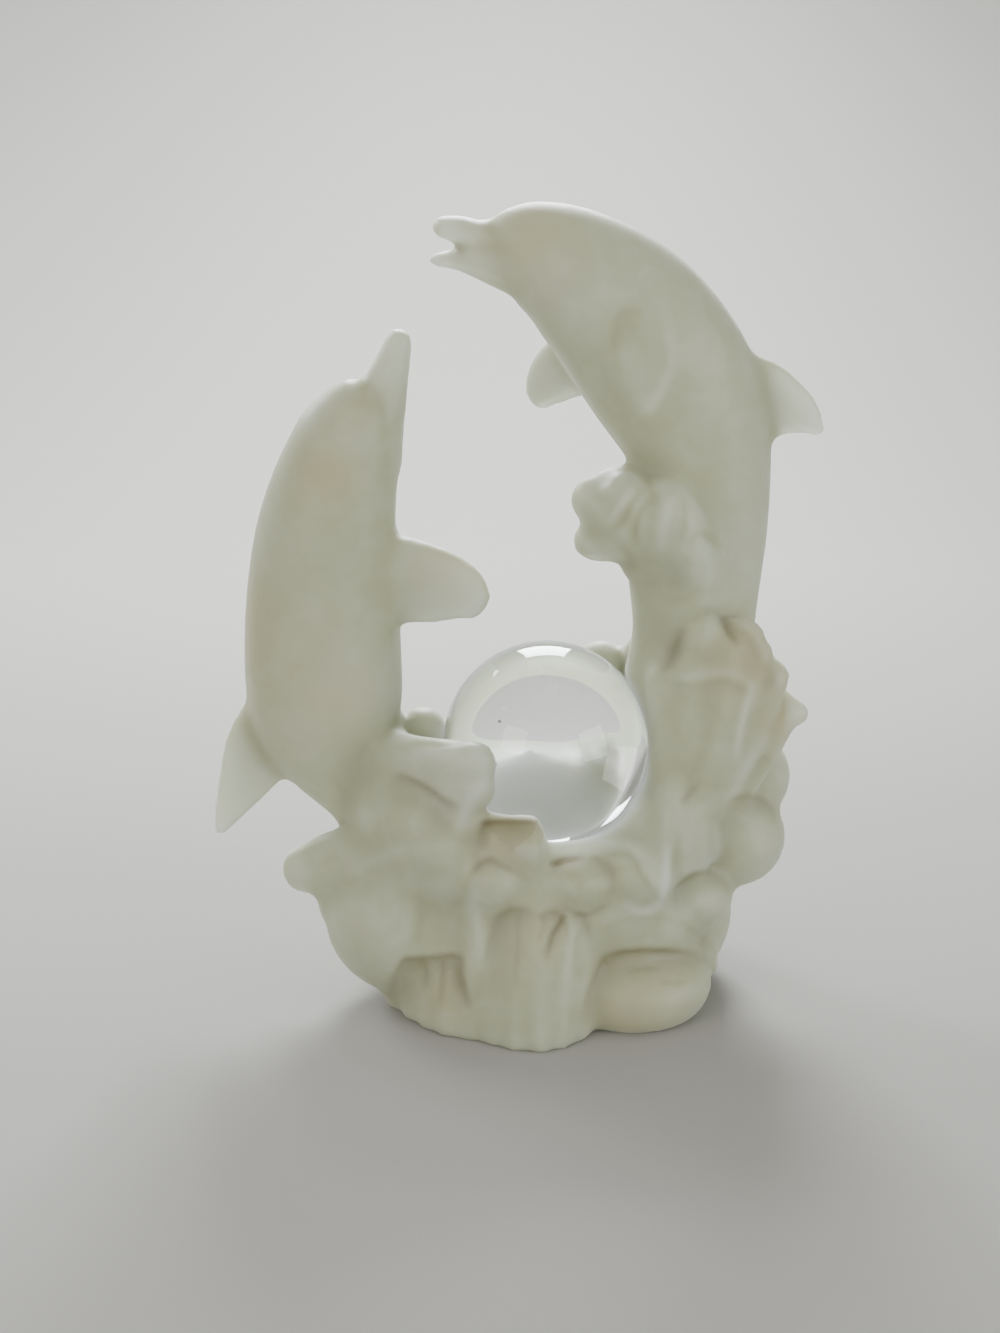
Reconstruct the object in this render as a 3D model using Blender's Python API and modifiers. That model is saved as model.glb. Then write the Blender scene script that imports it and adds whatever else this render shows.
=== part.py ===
"""A frosted glass figurine: two dolphins leap out of a cluster of waves, and a clear glass ball rests among them.

The frame: +X is the viewer's right, +Y points away from the viewer and +Z is up. The origin is on the floor, in
the middle of the figurine's footprint. Real sizes are in metres. The pose and the carving are shares of the
figurine's own height: one grid unit is a hundredth of it, so a point (-25, 2, 40) is 25 hundredths left, 2 back
and 40 up.
"""
import math

import bmesh
import bpy
import numpy as np
from mathutils import Euler, Matrix, Vector

# Real sizes, in metres
GROUP_HEIGHT = 0.138        # floor to the brow of the higher dolphin
BALL_DIAMETER = 0.035       # the clear ball
SEAT_CLEARANCE = 0.0003     # play between the ball and the hollow that it rests in
SEAT_WALL = 0.0028          # glass under and around the ball
SKIN_CELL = 0.0008          # cell of the skin that runs over the joined shapes
FLOOR_SINK = 0.008          # how far the shapes reach below the floor before the underside is ground flat

# Pose, in grid units (hundredths of the figurine's height)
GRID = GROUP_HEIGHT / 100
BALL_CENTRE = (2.0, -2.2, 32.2)
BODY_FLATNESS = 0.88        # a dolphin's width from side to side, as a share of its depth from back to belly

# Fineness of the faceted solids
CASTING_TRIANGLES = 8600
BALL_SEGMENTS = 32
BALL_RINGS = 16
SEAT_DEPTH_SHARE = 0.70     # the seat's lip is this share of the ball's radius below its middle

FROSTED = (0.58, 0.585, 0.53, 1.0)
CLEAR = (0.93, 0.96, 0.97, 1.0)

SIDEWAYS = Vector((0.0, 1.0, 0.0))


def smooth_path(stations, steps):
    """Rows of numbers between the stations, on a Catmull-Rom curve that passes through each of them."""
    rows = [np.array(station, dtype=float) for station in stations]
    rows = [2 * rows[0] - rows[1]] + rows + [2 * rows[-1] - rows[-2]]
    path = []
    for index in range(1, len(rows) - 2):
        before, here, after, beyond = rows[index - 1:index + 3]
        for step in range(steps):
            t = step / steps
            bend = 2 * before - 5 * here + 4 * after - beyond
            twist = 3 * here - before - 3 * after + beyond
            path.append(0.5 * (2 * here + (after - before) * t + bend * t ** 2 + twist * t ** 3))
    path.append(rows[-2])
    return path


def loft(shape, stations, flat=SIDEWAYS, sides=16, steps=3, caps=(1.0, 1.0)):
    """A closed body of oval rings along a path. A station is (x, y, z, half width, half thickness) in grid.

    The thickness lies along the direction flat. Each end is a rounded cap, as long as its share of the end's
    size.
    """
    path = smooth_path(stations, steps)
    middles = [Vector(row[:3]) for row in path]
    sizes = [(max(row[3], 0.05), max(row[4], 0.05)) for row in path]
    rings = []
    last = len(path) - 1
    start_run = (middles[1] - middles[0]).normalized()
    end_run = (middles[last] - middles[last - 1]).normalized()
    cap_steps = 3
    for step in range(cap_steps - 1, 0, -1):
        turn = math.pi / 2 * step / cap_steps
        reach = caps[0] * sum(sizes[0]) / 2 * math.sin(turn)
        rings.append((middles[0] - start_run * reach, start_run, sizes[0], math.cos(turn)))
    for index, middle in enumerate(middles):
        run = (middles[min(index + 1, last)] - middles[max(index - 1, 0)]).normalized()
        rings.append((middle, run, sizes[index], 1.0))
    for step in range(1, cap_steps):
        turn = math.pi / 2 * step / cap_steps
        reach = caps[1] * sum(sizes[last]) / 2 * math.sin(turn)
        rings.append((middles[last] + end_run * reach, end_run, sizes[last], math.cos(turn)))
    first_pole = shape.verts.new((middles[0] - start_run * caps[0] * sum(sizes[0]) / 2) * GRID)
    last_pole = shape.verts.new((middles[last] + end_run * caps[1] * sum(sizes[last]) / 2) * GRID)
    hoops = []
    for middle, run, (width, thickness), share in rings:
        thick_way = (flat - run * flat.dot(run)).normalized()
        wide_way = run.cross(thick_way)
        hoop = []
        for side in range(sides):
            angle = 2 * math.pi * side / sides
            across = wide_way * width * math.cos(angle) + thick_way * thickness * math.sin(angle)
            hoop.append(shape.verts.new((middle + across * share) * GRID))
        hoops.append(hoop)
    for side in range(sides):
        beside = (side + 1) % sides
        shape.faces.new((first_pole, hoops[0][beside], hoops[0][side]))
        shape.faces.new((last_pole, hoops[-1][side], hoops[-1][beside]))
    for lower, upper in zip(hoops, hoops[1:]):
        for side in range(sides):
            beside = (side + 1) % sides
            shape.faces.new((lower[side], lower[beside], upper[beside], upper[side]))


def lump(shape, centre, size, turn=(0, 0, 0)):
    """A smooth rounded swell of a wave: an egg of three half sizes, turned by three angles in degrees."""
    spin = Euler([math.radians(angle) for angle in turn]).to_matrix().to_4x4()
    place = Matrix.Translation(Vector(centre) * GRID) @ spin @ Matrix.Diagonal([*(Vector(size) * GRID), 1.0])
    bmesh.ops.create_uvsphere(shape, u_segments=16, v_segments=10, radius=1.0, matrix=place)


def along_curve(points, t):
    """A point on the parabola that passes through three points at t = 0, 0.5 and 1."""
    first, middle, last = (Vector(point) for point in points)
    return first * (1 - t) * (1 - 2 * t) + middle * 4 * t * (1 - t) + last * t * (2 * t - 1)


def fan(shape, roots, tips, count, root_size, tip_size, bow=(0, 0, 0), flat=SIDEWAYS):
    """A fluted crest: fingers side by side, from a curved line of roots to a curved line of rounded tips.

    The roots and the tips are three points each. The sizes are (half width, half thickness) of a finger, and bow
    is how far its middle stands out from the straight line.
    """
    for finger in range(count):
        share = finger / (count - 1)
        root = along_curve(roots, share)
        tip = along_curve(tips, share)
        stations = []
        for t in (0.0, 0.35, 0.7, 1.0):
            middle = root.lerp(tip, t) + Vector(bow) * 4 * t * (1 - t)
            width = root_size[0] + (tip_size[0] - root_size[0]) * t
            thickness = root_size[1] + (tip_size[1] - root_size[1]) * t
            stations.append((*middle, width, thickness))
        loft(shape, stations, flat=flat, sides=10, steps=2)


def dolphin_body(shape, spine, depth_y, caps):
    """A dolphin's trunk, brow to tail stalk. A spine row is (x, z, half depth), in the plane at depth_y."""
    rows = [(x, depth_y, z, half, half * BODY_FLATNESS) for x, z, half in spine]
    loft(shape, rows, sides=24, steps=4, caps=caps)


def left_dolphin(shape):
    """The upright dolphin: beak up, belly to the right, back fin low on the left."""
    spine = [(-20.0, 75.6, 3.4), (-20.6, 74.0, 4.9), (-21.4, 71.6, 6.1), (-22.4, 68.8, 6.8),
             (-23.7, 64.1, 7.7), (-24.8, 58.6, 8.5), (-25.3, 53.0, 9.1), (-25.5, 46.0, 9.6),
             (-25.4, 38.0, 9.7), (-24.6, 33.0, 9.0), (-22.9, 29.0, 7.4), (-20.8, 25.0, 5.8),
             (-18.8, 20.5, 4.5), (-16.5, 13.0, 4.2)]
    dolphin_body(shape, spine, 2.0, caps=(0.42, 1.0))
    loft(shape, [(-19.0, 2, 67.0, 3.5, 4.2), (-18.2, 2, 72.5, 3.1, 3.4), (-17.3, 2, 77.0, 2.7, 2.6),
                 (-16.4, 2, 80.0, 2.1, 2.2), (-15.7, 2, 82.4, 1.7, 1.9)], caps=(1.0, 0.7))
    loft(shape, [(-28.6, 2, 34.4, 6.5, 3.0), (-33.0, 2, 30.2, 5.1, 2.0), (-35.8, 2, 25.2, 3.4, 1.5),
                 (-37.7, 2, 21.4, 2.0, 1.2), (-38.8, 2, 19.2, 1.1, 0.9)])
    loft(shape, [(-21.0, 1.0, 52.4, 5.9, 4.4), (-16.0, -0.5, 52.9, 5.6, 3.4), (-12.8, -1.5, 52.8, 5.2, 2.7),
                 (-9.9, -2.4, 52.4, 4.5, 2.2), (-7.8, -3.0, 51.6, 3.6, 1.8), (-6.6, -3.3, 50.7, 2.5, 1.5)],
         caps=(1.0, 0.7))
    loft(shape, [(-21.5, 6.0, 51.5, 5.0, 3.6), (-17.6, 9.6, 50.0, 4.4, 2.3), (-14.6, 12.4, 48.0, 3.4, 1.6),
                 (-12.6, 14.2, 46.0, 1.8, 1.1)])


def right_dolphin(shape):
    """The arching dolphin: beak to the left with the mouth open, back fin on the right, tail stalk down."""
    spine = [(-7.2, 93.6, 3.0), (-5.4, 93.2, 3.4), (-3.8, 93.2, 4.2), (-2.2, 93.3, 5.2), (0.2, 92.9, 6.4),
             (4.0, 91.2, 7.6), (7.8, 88.4, 8.8), (11.6, 84.8, 9.7), (14.6, 80.9, 10.1), (17.4, 76.6, 10.0), (19.6, 72.0, 9.3), (21.2, 67.0, 8.1), (22.6, 59.0, 6.4),
             (23.0, 49.9, 5.0), (22.9, 43.6, 4.4), (21.5, 34.0, 4.1), (19.0, 26.0, 4.2)]
    dolphin_body(shape, spine, 2.0, caps=(0.4, 1.0))
    loft(shape, [(-3.0, 2, 93.9, 2.8, 3.2), (-6.2, 2, 94.8, 2.3, 2.7), (-8.6, 2, 95.6, 1.9, 2.3),
                 (-10.4, 2, 96.1, 1.4, 1.9)], caps=(1.0, 0.8))
    loft(shape, [(-2.0, 2, 91.2, 3.1, 3.3), (-6.0, 2, 92.0, 2.2, 2.7), (-8.6, 2, 92.4, 1.5, 2.2),
                 (-11.1, 2, 92.2, 1.0, 1.5)])
    loft(shape, [(22.8, 2, 73.8, 7.6, 3.0), (27.2, 2, 74.5, 5.9, 2.0), (30.6, 2, 73.8, 4.1, 1.5),
                 (33.2, 2, 72.5, 2.4, 1.2), (34.6, 2, 71.2, 1.1, 0.9)])
    loft(shape, [(7.0, 5.0, 79.4, 4.9, 3.0), (3.7, 7.0, 76.9, 4.0, 2.4), (1.8, 8.5, 74.3, 2.8, 1.9),
                 (1.3, 9.3, 72.9, 1.7, 1.5)], caps=(1.0, 0.7))
    loft(shape, [(12.3, -3.5, 86.4, 3.6, 2.2), (12.5, -5.2, 83.4, 4.0, 1.8), (13.0, -5.9, 80.0, 3.4, 1.6),
                 (13.6, -6.2, 77.0, 1.8, 1.2)])


def mound(shape):
    """The body of water that everything rises from, and the cup that holds the ball."""
    sink = FLOOR_SINK / GRID
    loft(shape, [(0.5, 0.0, -sink, 17.5, 16.0), (0.5, 0.0, 0.0, 18.5, 17.0), (0.8, 0.5, 6.0, 20.3, 17.8),
                 (1.5, 1.5, 12.0, 21.8, 16.6), (3.0, 2.5, 18.0, 22.0, 14.0), (4.6, 2.6, 21.5, 20.0, 12.2)],
         sides=32, caps=(0.05, 0.2))
    x, y, z = BALL_CENTRE
    radius = BALL_DIAMETER / 2 / GRID
    wall = SEAT_WALL / GRID
    lip = radius * SEAT_DEPTH_SHARE
    reach = math.sqrt((radius + wall) ** 2 - lip ** 2)
    rim_drop = wall * 0.5
    loft(shape, [(x, y, z - radius * 1.6, reach * 0.5, reach * 0.5),
                 (x, y, z - radius * 1.1, reach * 0.9, reach * 0.9),
                 (x, y, z - lip - rim_drop, reach, reach)], sides=32, caps=(0.5, rim_drop / reach))


def left_waves(shape):
    """The crests on the left: a drape, a pointed wave, two lobes before the ball's left side and a knob."""
    lump(shape, (-15.6, -6.4, 9.8), (10.0, 9.2, 8.6), (0, 25, 15))
    loft(shape, [(-9.0, -7.5, 18.5, 6.0, 5.5), (-17.0, -6.0, 18.0, 5.4, 4.8), (-24.2, -3.5, 16.4, 4.5, 3.7),
                 (-28.0, -2.5, 15.5, 3.1, 2.7)])
    fan(shape, [(-8, -8, 18), (-9, -8, 20), (-12, -2, 24)],
        [(-23.6, -5.5, 11.8), (-24.5, -3, 16), (-21.0, 2.0, 20.0)],
        4, (3.4, 3.2), (2.6, 2.4), bow=(0, -1.5, 1.0))
    fan(shape, [(-17, -3, 18), (-18, -3, 22), (-18, -2, 27)],
        [(-8.0, -14.4, 20.5), (-11.5, -13.2, 24.0), (-16.0, -8.6, 27.6)],
        3, (4.0, 4.0), (3.4, 3.0), bow=(-0.5, -1.5, 0.5))
    fan(shape, [(-17, -3, 26), (-17, -3, 29), (-15, -2, 33)],
        [(-8.2, -13.0, 27.8), (-6.2, -13.4, 32.4), (-7.6, -12.2, 36.4)],
        3, (3.6, 3.6), (2.8, 2.4), bow=(-1.0, -1.5, 0.5))
    lump(shape, (-15.0, -5.0, 26.5), (5.0, 5.0, 6.5), (0, 20, 0))
    lump(shape, (-13.3, 3.5, 31.2), (3.2, 3.2, 3.6))
    lump(shape, (-12.5, 3.0, 23.0), (6.0, 8.0, 8.5))
    lump(shape, (-12.0, -6.0, 16.5), (8.5, 8.2, 9.5))


def front_waves(shape):
    """The lobes in front of the ball, the fluted cascade below them and the shell-shaped swell beside it."""
    lump(shape, (-1.0, -8.0, 10.0), (14.0, 9.4, 11.5))
    lump(shape, (10.5, -8.5, 12.0), (8.0, 8.2, 8.5))
    loft(shape, [(-4.4, -13.4, 23.0, 3.9, 3.6), (-0.1, -13.6, 23.4, 3.9, 3.6)], sides=12, caps=(0.5, 0.35))
    lump(shape, (-3.6, -12.2, 21.4), (5.2, 4.2, 3.8))
    lump(shape, (-7.6, -12.0, 23.4), (3.4, 3.2, 4.2))
    lump(shape, (-4.2, -14.6, 19.6), (4.4, 4.0, 3.8))
    lump(shape, (1.0, -14.0, 17.0), (5.5, 4.0, 4.0))
    lump(shape, (8.4, -11.8, 19.4), (5.4, 3.8, 3.8))
    lump(shape, (6.3, -14.8, 19.3), (4.6, 4.0, 3.2), (0, 8, 0))
    lump(shape, (13.0, -13.4, 19.2), (4.2, 4.0, 3.6))
    lump(shape, (9.0, -12.5, 14.5), (8.0, 5.0, 4.5))
    fan(shape, [(-3.4, -13.5, 15.0), (1.0, -14.5, 16.0), (6.2, -13.5, 14.5)],
        [(-4.2, -18.4, 0.0), (1.0, -20.4, -1.0), (5.4, -17.4, 0.0)],
        5, (1.9, 2.8), (2.0, 2.8), bow=(0, -1.2, 0))
    loft(shape, [(-5.6, -13.5, 18.0, 2.0, 2.6), (-6.4, -16.2, 9.0, 2.2, 2.6), (-6.9, -17.4, -1.0, 2.4, 2.6)],
         sides=10)
    fan(shape, [(-9.5, -12.5, 12.0), (-12.5, -11.5, 12.5), (-15.5, -9.5, 11.0)],
        [(-9.6, -16.4, 0.5), (-12.6, -13.4, 0.5), (-15.8, -8.6, 0.5)],
        4, (2.4, 2.4), (2.3, 2.4), bow=(0, -0.8, 0))
    lump(shape, (12.6, -9.4, 3.8), (10.0, 10.0, 6.6), (0, 0, 0))
    loft(shape, [(14.0, -7.0, 4.0, 4.0, 4.0), (19.0, -6.5, 4.4, 3.2, 3.0), (21.6, -6.2, 4.6, 2.2, 2.0)],
         sides=10)
    loft(shape, [(9.5, -12.6, 12.5, 3.0, 2.8), (15.5, -12.2, 12.0, 3.4, 3.2), (18.8, -9.4, 10.2, 2.4, 2.4)],
         sides=12)


def right_waves(shape):
    """The lobes down the right side, the fluted leaf above them and the drips below the leaf's foot."""
    lump(shape, (20.0, -7.0, 14.2), (5.2, 5.4, 3.9), (0, 10, 0))
    lump(shape, (25.5, -2.0, 19.8), (6.3, 6.0, 6.3), (0, 20, 0))
    lump(shape, (27.4, 3.0, 26.0), (5.2, 6.0, 5.6))
    lump(shape, (20.0, 2.0, 22.0), (7.0, 9.0, 9.0))
    lump(shape, (18.5, 1.0, 9.0), (7.0, 10.0, 9.0))
    lump(shape, (16.8, -8.4, 22.0), (6.0, 4.0, 5.4))
    fan(shape, [(17.5, -8.0, 29.0), (19.5, -7.5, 27.0), (21.5, -5.5, 27.0)],
        [(16.3, -12.8, 17.8), (19.2, -11.4, 20.2), (22.0, -9.6, 20.6)],
        3, (2.5, 3.0), (1.4, 1.5), bow=(0, -0.8, 0))
    lump(shape, (22.6, -2.2, 35.0), (4.4, 4.2, 10.5))
    fan(shape, [(17.4, -6.0, 25.0), (20.0, -6.0, 24.0), (23.5, -4.0, 25.0)],
        [(17.2, -6.0, 42.0), (25.2, -6.5, 46.0), (30.0, -2.5, 36.8)],
        6, (2.7, 3.0), (3.3, 2.0), bow=(0, -1.6, 0))
    lump(shape, (20.6, -6.6, 47.6), (3.0, 2.2, 3.2), (0, 15, 0))
    lump(shape, (25.4, -5.4, 46.6), (3.2, 2.2, 3.0), (0, -30, 0))
    loft(shape, [(25.0, -4.0, 35.0, 3.2, 2.4), (30.2, -2.5, 35.9, 2.4, 1.9), (32.9, -2.0, 36.1, 1.6, 1.5)],
         sides=10)


def back_waves(shape):
    """The plainer far side: broad lobes behind the ball and over the tails, and low swells to the floor."""
    fan(shape, [(-12.0, 7.0, 15.0), (0.0, 9.0, 15.0), (14.0, 7.0, 20.0)],
        [(-13.5, 9.0, 24.5), (-1.0, 12.0, 22.0), (13.0, 11.0, 35.0)],
        6, (3.8, 3.6), (3.4, 3.0), bow=(0, 2.5, 0))
    lump(shape, (9.0, 9.5, 37.6), (4.0, 3.2, 3.8))
    fan(shape, [(-13.0, 9.0, 14.0), (0.5, 12.0, 16.0), (14.0, 9.0, 14.0)],
        [(-15.0, 12.5, 1.0), (0.5, 17.5, 0.0), (15.0, 12.5, 1.0)],
        7, (3.2, 3.2), (3.4, 3.4), bow=(0, 2.0, 0))
    lump(shape, (18.0, 5.0, 34.0), (6.5, 5.2, 13.5))
    fan(shape, [(12.0, 6.0, 24.0), (18.0, 7.0, 24.0), (22.0, 4.0, 24.0)],
        [(15.0, 8.0, 41.0), (21.0, 8.6, 44.0), (27.5, 6.0, 39.5)],
        4, (3.4, 3.4), (3.0, 2.4), bow=(0, 2.0, 0))


def splash(shape):
    """The column of water in front of the right tail, and the curled, ribbed splash on its top."""
    loft(shape, [(15.0, -2.2, 26.0, 5.4, 4.6), (16.2, -1.8, 36.0, 5.7, 4.2), (18.2, -1.6, 46.0, 5.9, 4.0),
                 (17.9, -1.6, 55.0, 6.2, 4.4), (17.2, -1.8, 61.0, 5.4, 4.4)], sides=20)
    loft(shape, [(20.5, 0.2, 28.0, 5.5, 4.6), (20.8, 0.2, 40.0, 5.2, 4.4), (21.0, 0.2, 52.0, 5.2, 4.4),
                 (20.0, 0.2, 62.0, 5.6, 4.6)], sides=20)
    lump(shape, (14.2, -3.0, 57.2), (3.4, 3.4, 4.2), (0, 30, 0))
    fan(shape, [(15.0, -2.5, 57.5), (16.5, -4.0, 57.0), (19.5, -4.5, 56.5)],
        [(8.4, -3.5, 59.0), (9.2, -5.0, 64.6), (17.0, -7.0, 65.6)],
        4, (3.0, 3.2), (2.8, 2.6), bow=(0, -1.5, 1.0))
    loft(shape, [(16.0, -2.0, 61.4, 4.0, 3.6), (11.0, -2.5, 63.8, 4.1, 3.4), (7.4, -3.0, 63.8, 2.9, 2.5)],
         sides=12)
    fan(shape, [(16.5, -3.0, 56.5), (18.5, -3.5, 56.0), (20.5, -3.5, 56.5)],
        [(15.5, -6.3, 64.6), (18.8, -7.2, 63.0), (21.2, -6.0, 60.4)],
        3, (2.4, 2.8), (2.2, 2.2), bow=(0, -2.2, 0))


def frosted_material(name, colour, roughness, alpha):
    """A plain glass finish: colour, roughness and how much it lets through."""
    material = bpy.data.materials.new(name)
    material.use_nodes = True
    shader = material.node_tree.nodes["Principled BSDF"]
    shader.inputs["Base Color"].default_value = colour
    shader.inputs["Roughness"].default_value = roughness
    shader.inputs["Metallic"].default_value = 0.0
    shader.inputs["Alpha"].default_value = alpha
    return material


def into_collection(thing, collection):
    """Moves an object out of every collection that holds it, and into the one given."""
    for holder in list(thing.users_collection):
        holder.objects.unlink(thing)
    collection.objects.link(thing)


def make_cutter(thing, name, collection):
    """Turns an object into a cutter: drawn as a wire, never rendered."""
    thing.name = name
    thing.hide_render = True
    thing.display_type = "WIRE"
    into_collection(thing, collection)
    return thing


def floor_cutter(collection):
    """A block whose top face is the floor. It grinds the underside flat."""
    size = GROUP_HEIGHT * 1.5
    bpy.ops.mesh.primitive_cube_add(size=size, location=(0, 0, -size / 2))
    return make_cutter(bpy.context.object, "floor_cutter", collection)


def seat_cutter(collection):
    """A ball a little bigger than the glass ball. It hollows the seat."""
    bpy.ops.mesh.primitive_uv_sphere_add(segments=BALL_SEGMENTS, ring_count=BALL_RINGS,
                                         radius=BALL_DIAMETER / 2 + SEAT_CLEARANCE,
                                         location=Vector(BALL_CENTRE) * GRID)
    return make_cutter(bpy.context.object, "seat_cutter", collection)


def make_casting(collection, cutters):
    """Both dolphins and the waves as one piece of cast glass, with a flat underside and the ball's seat."""
    shape = bmesh.new()
    left_dolphin(shape)
    right_dolphin(shape)
    mound(shape)
    left_waves(shape)
    front_waves(shape)
    right_waves(shape)
    back_waves(shape)
    splash(shape)
    mesh = bpy.data.meshes.new("dolphins_and_waves")
    shape.to_mesh(mesh)
    shape.free()
    casting = bpy.data.objects.new("dolphins_and_waves", mesh)
    collection.objects.link(casting)
    casting.data.materials.append(frosted_material("frosted_cast_glass", FROSTED, 0.55, 0.8))

    skin = casting.modifiers.new("one_skin", "REMESH")
    skin.mode = "VOXEL"
    skin.voxel_size = SKIN_CELL
    soften = casting.modifiers.new("soften", "SMOOTH")
    soften.factor = 0.5
    soften.iterations = 2
    fine = casting.evaluated_get(bpy.context.evaluated_depsgraph_get()).data
    fine_triangles = sum(len(face.vertices) - 2 for face in fine.polygons)
    thin = casting.modifiers.new("fewer_facets", "DECIMATE")
    thin.ratio = CASTING_TRIANGLES / fine_triangles
    for cutter in cutters:
        cut = casting.modifiers.new(cutter.name, "BOOLEAN")
        cut.operation = "DIFFERENCE"
        cut.solver = "EXACT"
        cut.object = cutter
    return casting


def make_ball(collection):
    """The clear glass ball, at rest in its seat."""
    bpy.ops.mesh.primitive_uv_sphere_add(segments=BALL_SEGMENTS, ring_count=BALL_RINGS,
                                         radius=BALL_DIAMETER / 2, location=Vector(BALL_CENTRE) * GRID)
    ball = bpy.context.object
    ball.name = "glass_ball"
    ball.data.shade_smooth()
    ball.data.materials.append(frosted_material("clear_glass", CLEAR, 0.0, 0.3))
    into_collection(ball, collection)
    return ball


for thing in list(bpy.data.objects):
    bpy.data.objects.remove(thing, do_unlink=True)

figurine = bpy.data.collections.new("frosted_glass_dolphins")
bpy.context.scene.collection.children.link(figurine)
cutter_box = bpy.data.collections.new("cutters")
bpy.context.scene.collection.children.link(cutter_box)

make_casting(figurine, [floor_cutter(cutter_box), seat_cutter(cutter_box)])
make_ball(figurine)
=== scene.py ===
# %% [markdown]
# # A frosted glass ornament: two dolphins, a cluster of waves and a clear ball
# The real thing is one heavy piece of cast glass, dipped in acid until its skin turned to satin. A polished
# clear glass ball lies loose in a hollow among the waves. This lesson dresses the two plain solids of the
# ornament: first the room and the camera, then the glass shapes, the carving on them, and last the two
# finishes. The solids set the sizes, so the first step loads them and notes the box that they fill.

# %% Load the frame
import math

import bmesh
import bpy
import numpy as np
from mathutils import Euler, Matrix, Vector
from mathutils.bvhtree import BVHTree


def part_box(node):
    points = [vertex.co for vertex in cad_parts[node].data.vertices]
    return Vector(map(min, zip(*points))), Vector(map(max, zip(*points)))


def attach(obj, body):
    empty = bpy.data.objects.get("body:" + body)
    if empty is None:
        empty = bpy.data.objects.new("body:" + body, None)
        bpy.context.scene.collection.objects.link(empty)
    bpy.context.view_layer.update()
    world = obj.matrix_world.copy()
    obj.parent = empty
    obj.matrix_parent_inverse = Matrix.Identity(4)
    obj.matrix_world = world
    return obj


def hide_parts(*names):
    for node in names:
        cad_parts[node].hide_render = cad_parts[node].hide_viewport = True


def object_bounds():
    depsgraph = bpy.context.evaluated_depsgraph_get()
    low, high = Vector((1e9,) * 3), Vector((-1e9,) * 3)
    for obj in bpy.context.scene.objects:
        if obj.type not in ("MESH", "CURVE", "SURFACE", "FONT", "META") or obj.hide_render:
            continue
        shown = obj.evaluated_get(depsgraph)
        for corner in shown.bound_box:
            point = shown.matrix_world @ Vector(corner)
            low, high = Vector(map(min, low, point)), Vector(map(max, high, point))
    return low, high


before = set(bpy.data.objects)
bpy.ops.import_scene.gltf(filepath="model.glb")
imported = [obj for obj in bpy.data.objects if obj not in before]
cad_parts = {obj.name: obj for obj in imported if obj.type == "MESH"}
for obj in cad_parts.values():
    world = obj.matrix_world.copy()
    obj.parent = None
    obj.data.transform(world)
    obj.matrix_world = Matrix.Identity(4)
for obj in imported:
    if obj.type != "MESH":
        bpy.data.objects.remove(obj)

cad_low, cad_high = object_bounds()
print("box of the solids, mm:", [round(side * 1000, 1) for side in cad_high - cad_low])

# %% [markdown]
# ## One grid for the whole pose
# A sculptor scales a pose up or down as a whole. So the pose is kept in grid units, hundredths of the
# ornament's height, and only the height is a real size. The ball's place and radius are read from its solid,
# because everything round it has to leave it room.

# %% Sizes
GROUP_HEIGHT = 0.138
GRID = GROUP_HEIGHT / 100
MILLIMETRE = 0.001

ball_low, ball_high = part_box("glass_ball")
BALL_CENTRE = (ball_low + ball_high) / 2
BALL_RADIUS = (ball_high.z - ball_low.z) / 2
print("ball: radius", round(BALL_RADIUS * 1000, 2), "mm, centre", [round(c * 1000, 1) for c in BALL_CENTRE])

# %% [markdown]
# ## Where the photographer stood
# The picture looks slightly down on the ornament from straight in front. A camera can be placed by hand until
# it looks right, but here it is worked out: an elevation, a distance and a lens, aimed at one point. The same
# eye point is used again later, because the fine carving is laid out as it is seen from there.

# %% Camera
EYE_ELEVATION = math.radians(20)
EYE_DISTANCE = 0.620
EYE_LENS = 98.8
NEAREST_SEEN = 0.01
EYE_AIM = Vector((-0.0051, 0.0, 0.0572))


def add_object(name, data):
    """A new object that holds a mesh, a lamp or a camera, put into the scene."""
    made = bpy.data.objects.new(name, data)
    bpy.context.scene.collection.objects.link(made)
    return made


def aim(thing, way):
    """Turns a camera or a lamp so that it looks along a direction."""
    thing.rotation_mode = "QUATERNION"
    thing.rotation_quaternion = way.to_track_quat("-Z", "Y")


backwards = Vector((0.0, -math.cos(EYE_ELEVATION), math.sin(EYE_ELEVATION)))
EYE = EYE_AIM + backwards * EYE_DISTANCE
camera = add_object("camera", bpy.data.cameras.new("camera"))
camera.data.lens = EYE_LENS
camera.data.clip_start = NEAREST_SEEN
camera.location = EYE
aim(camera, -backwards)
bpy.context.scene.camera = camera
print("camera", round(EYE_DISTANCE * 1000), "mm away,", round(math.degrees(EYE_ELEVATION)), "degrees up")

# %% [markdown]
# ## One helper for every node
# Node trees are long when each node takes five lines. This helper adds one node, sets its properties, and
# fills its inputs either with a plain value or with a link from another node. Colours are written as the hex
# values that a painter reads off a screen, and one function turns them into the linear numbers that a
# renderer needs.

# %% Node and colour helpers
def add_node(tree, kind, inputs=None, **settings):
    """Adds a node with its settings. Inputs maps a socket to a value, an output, or a node's first output."""
    made = tree.nodes.new(kind)
    for name, value in settings.items():
        setattr(made, name, value)
    for key, value in (inputs or {}).items():
        if isinstance(value, bpy.types.Node):
            value = value.outputs[0]
        if isinstance(value, bpy.types.NodeSocket):
            tree.links.new(value, made.inputs[key])
        else:
            made.inputs[key].default_value = value
    return made


def linear(hex_colour):
    """A colour written as #rrggbb, as the linear red, green, blue and alpha of the renderer."""
    shares = [int(hex_colour[start:start + 2], 16) / 255 for start in (1, 3, 5)]
    return (*[s / 12.92 if s <= 0.04045 else ((s + 0.055) / 1.055) ** 2.4 for s in shares], 1.0)


def new_material(name):
    """An empty material that uses nodes, with its tree and its shader."""
    material = bpy.data.materials.new(name)
    material.use_nodes = True
    return material, material.node_tree, material.node_tree.nodes["Principled BSDF"]


def set_sockets(shader, values):
    """Sets what is the same all over on the shader's own sockets."""
    for name, value in values.items():
        shader.inputs[name].default_value = value


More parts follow.
